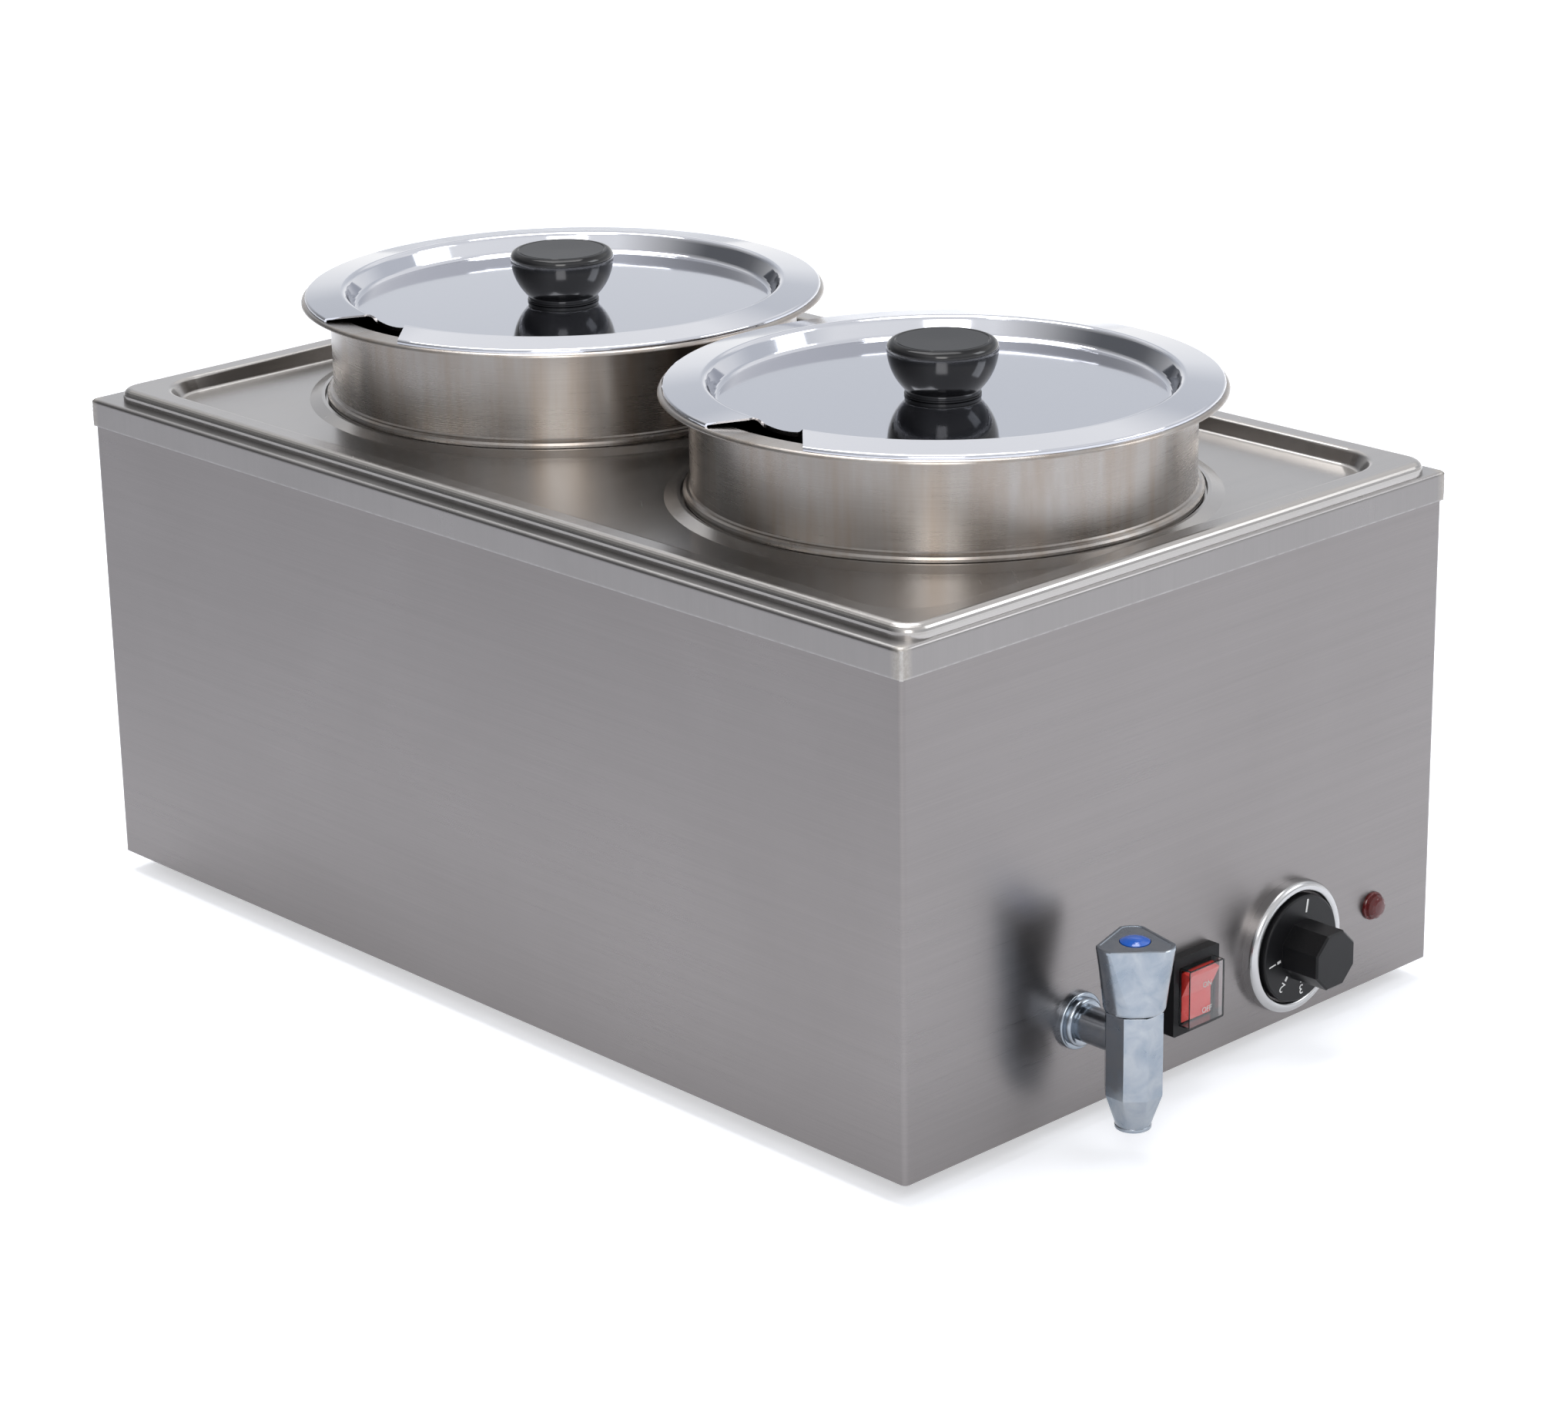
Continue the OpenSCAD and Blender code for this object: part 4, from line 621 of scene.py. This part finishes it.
# %% Dress the CAD solids
finishes = {
    casing_steel: ["casing"],
    deck_steel: ["deck_and_well"],
    plate_steel: ["adapter_plate"],
    base_steel: ["base_plate"],
    fastener_steel: ["base_screws", "foot_screws", "foot_nuts", "lid_screw_front", "lid_screw_rear",
                     "tap_handle_screw", "well_studs", "stud_nuts", "thermostat_screws", "terminal_screws",
                     "earth_stud"],
    black_rubber: ["feet", "tap_gasket", "drain_seal"],
    pot_steel["front"]: ["pot_front"],
    pot_steel["rear"]: ["pot_rear"],
    lid_steel["front"]: ["lid_front"],
    lid_steel["rear"]: ["lid_rear"],
    knob_black: ["knob_front", "knob_rear"],
    tap_chrome: ["tap_body", "tap_handle", "tap_escutcheon"],
    brass: ["tap_headwork", "tap_plug", "tap_locknut", "drain_outlet", "drain_nut", "drain_sleeve",
            "dial_shaft", "earth_nut"],
    index_blue: ["tap_button"],
    copper: ["drain_pipe", "thermostat_bulb"],
    heater_metal: ["heater_element"],
    clamp_aluminium: ["clamp_plate"],
    blanket_fibre: ["heat_blanket"],
    ceramic_white: ["overheat_cutout", "thermostat_body", "terminal_block"],
    ring_chrome: ["dial_ring"],
    dial_black: ["dial"],
    switch_black: ["switch_body"],
    rocker_red: ["switch_rocker"],
    cover_clear: ["switch_cover"],
    lamp_red: ["lamp_lens"],
    lamp_white: ["lamp_body", "lamp_nut"],
    gland_black: ["cable_gland", "gland_locknut"],
}
dressed = set()
for material, names in finishes.items():
    for name in names:
        solid = frame["nodes"][name]
        for slot in solid.material_slots:
            slot.material = material
        dressed.add(name)
missing = sorted(set(frame["nodes"]) - dressed)
if missing:
    raise ValueError("no finish for " + ", ".join(missing))
print("dressed", len(dressed), "solids")

# %% [markdown]
# ## Soften the edges that catch the light
# A cast or moulded edge is never sharp: it carries a fine bright line. The Weld modifier first joins the
# points that the file keeps apart along sharp edges, and the Bevel modifier then rounds those edges. Both
# leave the CAD mesh itself alone.

# %% Round the visible edges
weld_gap = 0.000002
sharp_angle = math.radians(40.0)


def soften(name, width):
    solid = frame["nodes"][name]
    weld = solid.modifiers.new("weld", "WELD")
    weld.merge_threshold = weld_gap
    round_off = solid.modifiers.new("round", "BEVEL")
    round_off.width = width
    round_off.segments = 3
    round_off.limit_method = "ANGLE"
    round_off.angle_limit = sharp_angle
    round_off.use_clamp_overlap = True
    round_off.harden_normals = True


for name, width in (("tap_body", 0.0005), ("dial", 0.0005), ("switch_body", 0.0004),
                    ("switch_rocker", 0.0004)):
    soften(name, width)
print("rounded the edges of four solids")

# %% [markdown]
# ## Mesh helpers
# Most fittings are turned parts: `turned` spins a profile, a list of radius and height, about an upright
# axis. `loft` joins rings of points that have the same count, which also suits the tap's handle and the
# lamp's lens.

# %% Mesh helpers
def named_piece(name, mesh, material, body):
    """Make an object that moves with a body and carries the given finish."""
    mesh.materials.append(material)
    piece = add_object(name, mesh)
    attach(piece, body)
    return piece


def mesh_object(name, points, faces, material, body, slot, smooth_angle=35.0):
    """Shade smoothly, except over edges sharper than the given angle."""
    mesh = bpy.data.meshes.new(name)
    mesh.from_pydata([tuple(p) for p in points], [], faces)
    mesh.update()
    work = bmesh.new()
    work.from_mesh(mesh)
    bmesh.ops.recalc_face_normals(work, faces=work.faces)
    for edge in work.edges:
        if edge.is_manifold and edge.calc_face_angle(0.0) > math.radians(smooth_angle):
            edge.smooth = False
    for face in work.faces:
        face.smooth = True
    work.to_mesh(mesh)
    work.free()
    return named_piece(name, mesh, material, body)


def loft(rings):
    points = [p for ring in rings for p in ring]
    count = len(rings[0])
    last = (len(rings) - 1) * count
    faces = []
    for at in range(0, last, count):
        for j, k in ((j, (j + 1) % count) for j in range(count)):
            faces.append((at + j, at + k, at + count + k, at + count + j))
    faces += [tuple(range(count - 1, -1, -1)), tuple(last + j for j in range(count))]
    return points, faces


def on_circle(radius, angle):
    return Vector((radius * math.cos(angle), radius * math.sin(angle)))


def turned(profile, origin, sides):
    return [[origin + Vector((*on_circle(radius, 2 * math.pi * k / sides), height)) for k in range(sides)]
            for radius, height in profile]


def arc_points(centre, radius, start, end, steps):
    angles = [math.radians(start + (end - start) * k / steps) for k in range(steps + 1)]
    return [(centre[0] + radius * math.cos(angle), centre[1] + radius * math.sin(angle)) for angle in angles]


# %% [markdown]
# ## Lid knobs
# Each knob is a turned phenolic bowl on a short neck. The real one has a fine groove near the rim of its
# flat top and a line round its neck, which catch the light. The profile is drawn again here with those
# lines, and it keeps the CAD knob's height and width.

# %% Build the knobs
knob_neck_r = 0.0168
knob_screw_r = 0.0026
neck_steps = ((-0.0004, 0.0), (0.0, 0.0003), (0.0, 0.0008), (-0.0005, 0.0010), (-0.0005, 0.0018),
              (-0.0002, 0.0020))
waist_blend = 0.0004
groove_in, groove_half, groove_deep = 0.0009, 0.0004, 0.0004
top_dip = 0.0001
widest_share, waist_share, edge_share = 0.87, 0.125, 0.13


def knob_profile(high, wide, neck):
    widest, waist, edge = high * widest_share, high * waist_share, high * edge_share
    groove_r = wide - edge - groove_in
    points = [(knob_screw_r, 0.0)] + [(neck + out, up) for out, up in neck_steps]
    points += [(neck + neck_steps[-1][0], waist - waist_blend), (neck, waist)]
    step, drop = wide - neck, widest - waist
    bowl = (drop * drop + step * step) / (2 * step)
    points += arc_points((wide - bowl, widest), bowl, -math.degrees(math.asin(drop / bowl)), 0, 22)[1:]
    points += arc_points((wide - edge, high - edge), edge, 0, 90, 12)[1:]
    points += [(groove_r + groove_half, high), (groove_r, high - groove_deep), (groove_r - groove_half, high)]
    points += [(wide * 0.4, high - top_dip / 2), (0.001, high - top_dip)]
    return points


for end in ("front", "rear"):
    low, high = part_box("knob_" + end)
    centre = Vector(((low.x + high.x) / 2, (low.y + high.y) / 2, low.z))
    profile = knob_profile(high.z - low.z, (high.x - low.x) / 2, knob_neck_r)
    knob = mesh_object("turned_knob_" + end, *loft(turned(profile, centre, 128)), knob_black, end + "_lid",
                       "knob_black", 28.0)
    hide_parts("knob_" + end)
    print("knob", end, len(knob.data.vertices), "points")


# %% [markdown]
# ## Tap handle
# The head has three rounded corners and, on each side, a flat that narrows to a point at the foot. That is
# three discs joined by straight sides, with each side cut a little deeper than the discs' common tangent,
# so that a crease runs down both edges of the flat. Lofting such outlines from foot to top keeps every
# crease on one line of points; cutting a hull with planes would leave ragged edges.

# %% Build the tap handle
handle_low, handle_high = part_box("tap_handle")
foot_z, top_z = handle_low.z, handle_high.z
first_corner = math.radians(17) - math.pi / 2
third = 2 * math.pi / 3
corner_points, side_points, levels = 15, 7, 14
foot_out, top_out = 0.0013, 0.008
foot_disc, top_disc = 0.0119, 0.00945
foot_inset, more_inset = 0.00006, 0.00094
flare = 1.15
foot_blend, top_blend, top_round = 0.0012, 0.0014, 0.0009
socket_r, socket_deep = 0.0101, 0.007
seat_r, seat_deep, seat_lip = 0.0066, 0.0032, 0.00025


def round_the_axis(flat_points, height):
    return [Vector((tap_axis.x + p.x, tap_axis.y + p.y, height)) for p in flat_points]


def handle_ring(height, out, disc, inset):
    """Three arcs at a distance from the axis, joined by sides that are set in from their common tangent."""
    span = math.pi / 3 - math.asin(math.sqrt(2 * disc * inset - inset * inset) / disc)
    ring = []
    for k in range(3):
        corner = first_corner + k * third
        angles = [corner - span + 2 * span * i / (corner_points - 1) for i in range(corner_points)]
        arc = [on_circle(out, corner) + disc * on_circle(1.0, angle) for angle in angles]
        end = on_circle(out, corner + third) + disc * on_circle(1.0, corner + third - span)
        ring += arc + [arc[-1].lerp(end, (i + 1) / (side_points + 1)) for i in range(side_points)]
    return round_the_axis(ring, height)


def round_ring(height, radius, count):
    first = first_corner - math.pi / 3
    return round_the_axis([on_circle(radius, first + 2 * math.pi * i / count) for i in range(count)], height)


def handle_section(share):
    grown = share ** flare
    return (foot_out + (top_out - foot_out) * grown, foot_disc + (top_disc - foot_disc) * grown,
            foot_inset + more_inset * share)


out, disc, inset = handle_section(0.0)
rings = [handle_ring(foot_z + up, out, disc - less, inset)
         for up, less in ((0.0, 0.0009), (0.0003, 0.0004), (foot_blend, 0.0))]
for level in range(1, levels + 1):
    share = level / levels
    out, disc, inset = handle_section(share)
    height = foot_z + foot_blend + (top_z - foot_z - foot_blend - top_blend) * share
    rings.append(handle_ring(height, out, disc, inset))
for turn in (30, 60, 90):
    lift = top_round * math.sin(math.radians(turn))
    shrink = top_round * (1 - math.cos(math.radians(turn)))
    rings.append(handle_ring(top_z - top_round + lift, out, disc - shrink, inset))
for down, less in ((0.0, 0.0016), (seat_lip, 0.0019)):
    rings.append(handle_ring(top_z - down, out, disc - less, inset))
count = len(rings[0])
socket_rings = [round_ring(foot_z + up, socket_r, count) for up in (socket_deep, 0.0)]
seat_rings = [round_ring(top_z - down, seat_r, count) for down in (seat_lip, seat_deep)]
tap_head = mesh_object("creased_tap_handle", *loft(socket_rings + rings + seat_rings), tap_chrome, "tap_grip",
                       "tap_chrome", 9.0)
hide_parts("tap_handle")
print("tap handle", len(tap_head.data.vertices), "points")

# %% [markdown]
# ## Index line, ticks and numbers of the dial
# They are printed in white on the dial's skirt. The line and the ticks are strokes. The numbers are Blender
# text turned to mesh; each stands with its foot to the centre. All are 0.12 mm thick and turn with the dial.

# %% Mark helpers
mark_h = 0.00012


def box_mesh(name, shapes, base_y, material, body, slot):
    """Flat shapes given as lists of (x, z) corners, standing proud of the plane at base_y, towards -Y."""
    points, faces = [], []
    for shape in shapes:
        n, at = len(shape), len(points)
        points += [Vector((x, y, z)) for y in (base_y, base_y - mark_h) for x, z in shape]
        faces += [tuple(at + i for i in range(n)), tuple(at + n + i for i in reversed(range(n)))]
        faces += [(at + i, at + n + i, at + n + (i + 1) % n, at + (i + 1) % n) for i in range(n)]
    return mesh_object(name, points, faces, material, body, slot)


def stroke(centre, angle, inner, outer, width):
    """A bar that points away from a centre: its four corners in the panel's plane."""
    along = on_circle(1.0, angle)
    across = Vector((-along.y, along.x)) * width / 2
    start, end = (Vector((centre.x, centre.z)) + along * reach for reach in (inner, outer))
    return [tuple(corner) for corner in (start - across, end - across, end + across, start + across)]


def letters(name, text, size, centre, angle, base_y, material, body):
    """Text as a mesh on a plane that faces -Y, its middle at `centre` (x, z) and turned by `angle`."""
    curve = bpy.data.curves.new(name, "FONT")
    curve.body, curve.size, curve.extrude = text, size, mark_h / 2
    curve.align_x, curve.align_y, curve.resolution_u = "CENTER", "CENTER", 3
    writer = add_object(name + "_text", curve)
    bpy.context.view_layer.update()
    mesh = bpy.data.meshes.new_from_object(writer)
    bpy.data.objects.remove(writer)
    xs = [v.co.x for v in mesh.vertices]
    ys = [v.co.y for v in mesh.vertices]
    mesh.transform(Matrix.Translation((-(min(xs) + max(xs)) / 2, -(min(ys) + max(ys)) / 2, 0)))
    stand = Matrix.Rotation(math.radians(90), 4, "X") @ Matrix.Rotation(angle, 4, "Z")
    mesh.transform(Matrix.Translation((centre[0], base_y - mark_h / 2, centre[1])) @ stand)
    mesh.materials.clear()
    return named_piece(name, mesh, material, body)


# %% Print the dial
skirt_proud = 0.008
index_angle, index_bar = math.radians(80), (0.0165, 0.0225, 0.0010)
first_tick, tick_step, tick_bar = 188.0, 42.0, (0.0138, 0.0160, 0.0012)
number_count, number_r, number_size = 5, 0.0193, 0.0062

skirt_face = front_y - skirt_proud
strokes = [stroke(dial_mid, index_angle, *index_bar)]
for number in range(number_count):
    angle = math.radians(first_tick + tick_step * number)
    strokes.append(stroke(dial_mid, angle, *tick_bar))
    at = (dial_mid.x + number_r * math.cos(angle), dial_mid.z + number_r * math.sin(angle))
    letters(f"dial_number_{number + 1}", str(number + 1), number_size, at, angle - math.pi / 2, skirt_face,
            mark_white, "dial_knob")
box_mesh("dial_strokes", strokes, skirt_face, mark_white, "dial_knob", "dial_black")
print("printed", len(strokes), "strokes and", number_count, "numbers")

# %% [markdown]
# ## Marks on the switch
# The clear cover has the words for its two positions moulded in its face. They are small, so flat text is
# enough.

# %% Mark the switch
cover_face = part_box("switch_cover")[0].y
cover_mid = middle("switch_cover")
word_size = 0.0036
for name, word, up in (("cover_on", "ON", 0.0050), ("cover_off", "OFF", -0.0066)):
    letters(name, word, word_size, (cover_mid.x, cover_mid.z + up), 0.0, cover_face, cover_mark, "cabinet")
print("marked the cover at", round(cover_face, 4))

# %% [markdown]
# ## Lamp lens
# The lens is a small red cap with a ring of flats round its edge and a shallow dome on top. All its rings
# have the same 96 points. Where it has flats, the points are drawn in to a shape of twelve sides.

# %% Build the lamp lens
lens_low, lens_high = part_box("lamp_lens")
lens_r = (lens_high.x - lens_low.x) / 2
lens_h = lens_high.y - lens_low.y
lens_at = Vector((lamp_mid.x, front_y, lamp_mid.z))
facets, fine_sides = 12, 96
lens_profile = ((1.0, 0.0, 0.0), (1.0, 0.18, 0.0), (0.97, 0.24, 0.0), (0.93, 0.26, 1.0), (0.86, 0.55, 1.0),
                (0.72, 0.8, 1.0), (0.66, 0.84, 0.0), (0.5, 0.93, 0.0), (0.3, 0.98, 0.0), (0.1, 1.0, 0.0))


def faceted_ring(radius, height, share):
    """A ring that is round at share 0 and has twelve flat sides at share 1."""
    ring = []
    for k in range(fine_sides):
        angle = 2 * math.pi * k / fine_sides
        part = (angle % (2 * math.pi / facets)) - math.pi / facets
        flat_r = radius * math.cos(math.pi / facets) / math.cos(part)
        r = radius + (flat_r - radius) * share
        ring.append(lens_at + Vector((r * math.cos(angle), -height, r * math.sin(angle))))
    return ring


lens_rings = [faceted_ring(lens_r * r, lens_h * h, share) for r, h, share in lens_profile]
lens = mesh_object("faceted_lens", *loft(lens_rings), lamp_red, "cabinet", "lamp_red", 12.0)
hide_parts("lamp_lens")
print("lens", len(lens.data.vertices), "points")

# %% [markdown]
# ## Ground welds at the deck's corners
# Where the skirt's ends meet, the weld was ground down but still stands as a thin uneven bead. A narrow
# strip with small seeded bumps follows each upright corner.

# %% Build the corner welds
random.seed(7)
skirt_height = 0.014
corner_r = 0.003
weld_from, weld_short = 0.0006, 0.0016
weld_half_angle = 17
weld_sink, weld_back = 0.00006, 0.0004
least_rise, more_rise = 0.00012, 0.00022
end_rise = 0.4
steps, across = 22, 6
width = across + 1
skirt_low_z = deck_high.z - skirt_height
corner_signs = ((-1, -1), (1, -1), (1, 1), (-1, 1))
for number, (sx, sy) in enumerate(corner_signs):
    corner = Vector((deck_mid.x + sx * (deck_high.x - deck_mid.x - corner_r),
                     deck_mid.y + sy * (deck_high.y - deck_mid.y - corner_r), 0))
    diagonal = math.atan2(sy, sx)
    points, back = [], []
    for i in range(steps + 1):
        z = skirt_low_z + weld_from + (deck_high.z - weld_short - skirt_low_z) * i / steps
        ease = end_rise + (1 - end_rise) * math.sin(math.pi * i / steps)
        back.append(corner + Vector((*on_circle(corner_r - weld_back, diagonal), z)))
        for j in range(width):
            angle = diagonal + math.radians(-weld_half_angle + 2 * weld_half_angle * j / across)
            rise = math.sin(math.pi * j / across) * (least_rise + more_rise * random.random()) * ease
            points.append(corner + Vector((*on_circle(corner_r - weld_sink + rise, angle), z)))
    faces = [(i * width + j, i * width + j + 1, (i + 1) * width + j + 1, (i + 1) * width + j)
             for i in range(steps) for j in range(across)]
    inner = len(points)
    for i in range(steps):
        faces.append((i * width, (i + 1) * width, inner + i + 1, inner + i))
        faces.append(((i + 1) * width - 1, inner + i, inner + i + 1, (i + 2) * width - 1))
    faces.append(tuple(range(across, -1, -1)) + (inner,))
    faces.append(tuple(steps * width + j for j in range(width)) + (inner + steps,))
    mesh_object(f"corner_weld_{number + 1}", points + back, faces, deck_steel, "cabinet", "deck_steel", 50.0)
print("four corner welds")

# %% [markdown]
# ## Ribs on the cable gland
# The gland's dome nut is gripped by hand, so it has ribs. They are small bars set round the dome.

# %% Build the gland ribs
rib_count = 16
rib_levels = ((0.0066, 0.0092), (0.0118, 0.0092), (0.0128, 0.0086))
rib_section = ((-0.0006, 0.0008), (-0.0004, 0.0), (0.0004, 0.0), (0.0006, 0.0008))
gland_mid = middle("cable_gland")
points, faces = [], []
for k in range(rib_count):
    turn = 2 * math.pi * k / rib_count
    out = Vector((math.cos(turn), 0, math.sin(turn)))
    side = Vector((-math.sin(turn), 0, math.cos(turn)))
    at = len(points)
    for y, r in rib_levels:
        middle_line = Vector((gland_mid.x, casing_high.y + y, gland_mid.z))
        points += [middle_line + out * (r - depth) + side * w for w, depth in rib_section]
    for row in (at, at + 4):
        faces += [(row + j, row + j + 1, row + j + 5, row + j + 4) for j in range(3)]
        faces.append((row + 3, row, row + 4, row + 7))
    faces += [(at + 3, at + 2, at + 1, at), (at + 8, at + 9, at + 10, at + 11)]
mesh_object("gland_ribs", points, faces, gland_black, "cabinet", "gland_black")
print("gland ribs at", tuple(round(v, 4) for v in gland_mid))

# %% [markdown]
# ## Floor
# A plain white floor that keeps the soft shadow. It is a pale surface, lifted a little for what the camera
# and the mirrors see, more so far away where the lamps don't reach, so that all of its lit part comes out
# white. What mirrors see of it is lifted less towards the left back, where the photographed steel is
# darker.

# %% Build the floor
floor_half = 12.0
left_back = (-0.6, 0.8, 0.0)


def seen_rays(tree, mirror_share):
    """1 for what is seen directly or through clear plastic, and the given share for what mirrors show."""
    rays = put(tree, "LightPath").outputs
    seen = plus(tree, rays["Is Camera Ray"], times(tree, rays["Is Glossy Ray"], mirror_share))
    return math_node(tree, "ADD", seen, rays["Is Transmission Ray"], clamp=True)


floor_mesh = bpy.data.meshes.new("floor")
floor_mesh.from_pydata([(sx * floor_half, sy * floor_half, 0) for sx, sy in corner_signs], [], [(0, 1, 2, 3)])
floor = add_object("floor", floor_mesh)
floor_white, tree, bsdf = blank_material("floor_white")
to_left_back = vector_node(tree, "DOT_PRODUCT", here(tree), left_back)
seen = seen_rays(tree, spread(tree, to_left_back, 0.15, 0.75, 1.0, 0.25))
far = spread(tree, vector_node(tree, "LENGTH", here(tree)), 1.2, 4.5, 0.42, 1.0)
give(tree, bsdf, Roughness=0.7, Specular_IOR_Level=0.1, Base_Color=(0.84, 0.862, 0.915),
     Emission_Color=grey(tree, times(tree, seen, far)), Emission_Strength=1.0)
floor_mesh.materials.append(floor_white)
print("the floor reaches", floor_half, "m each way")

# %% [markdown]
# ## Studio light
# One large soft lamp hangs over the object, a warm one fills from the front left and a weaker, cooler one
# from the front right. The world gives the surroundings that the mirrors show: white near the horizon and
# again above, with a grey band between them at the height that the flat lids mirror. It is darker behind
# the object's left, where the photographed pots are dark. Lamps that are large and near give the soft
# shadow of the photograph.

# %% Set up the light
world = bpy.data.worlds.new("studio")
bpy.context.scene.world = world
world.use_nodes = True
tree = world.node_tree
tree.nodes.clear()
look = put(tree, "TexCoord").outputs["Generated"]
ramp = put(tree, "ValToRGB")
feed(tree, ramp.inputs[0], parts_of(tree, look)["Z"])
stops = ramp.color_ramp.elements
stops[0].position, stops[0].color = 0.0, (0.9, 0.9, 0.9, 1)
stops[1].position, stops[1].color = 1.0, (0.8, 0.805, 0.82, 1)
grey_band = (0.64, 0.66, 0.7, 1)
for position, colour in ((0.16, (0.84, 0.85, 0.87, 1)), (0.26, grey_band), (0.4, grey_band),
                         (0.5, (1.0, 1.0, 1.0, 1)), (0.75, (0.9, 0.905, 0.92, 1))):
    stop = stops.new(position)
    stop.color = colour
shade = spread(tree, vector_node(tree, "DOT_PRODUCT", look, left_back), 0.3, 0.9, 1.0, 0.2)
walls = mix_colour(tree, 1.0, ramp.outputs[0], grey(tree, shade), "MULTIPLY")
mirror_side = put(tree, "Background", Color=walls, Strength=1.3)
lamp_side = put(tree, "Background", Color=ramp.outputs[0], Strength=0.68)
pick = put(tree, "MixShader")
for socket, value in zip(pick.inputs, (seen_rays(tree, 1.0), lamp_side.outputs[0], mirror_side.outputs[0])):
    feed(tree, socket, value)
put(tree, "OutputWorld", Surface=pick.outputs[0])


def soft_lamp(name, place, aim, size, power, colour):
    data = bpy.data.lights.new(name, "AREA")
    data.shape, data.size, data.size_y = "RECTANGLE", size[0], size[1]
    data.energy, data.color = power, colour
    lamp = add_object(name, data)
    lamp.location = place
    lamp.rotation_euler = (Vector(aim) - Vector(place)).to_track_quat("-Z", "Y").to_euler()


object_middle = (0, 0, 0.15)
soft_lamp("overhead", (0.2, 0.5, 2.6), object_middle, (1.8, 1.8), 62, (1.0, 1.0, 1.0))
soft_lamp("left_fill", (-2.0, -1.9, 1.8), object_middle, (1.1, 1.4), 24, (1.0, 0.98, 0.95))
soft_lamp("right_fill", (1.9, -2.0, 2.0), object_middle, (1.2, 1.2), 16, (0.94, 0.97, 1.0))
print("three lamps and the world are set")

# %% [markdown]
# ## Finish
# The view layer is brought up to date at the end.

# %% Finish
bpy.context.view_layer.update()
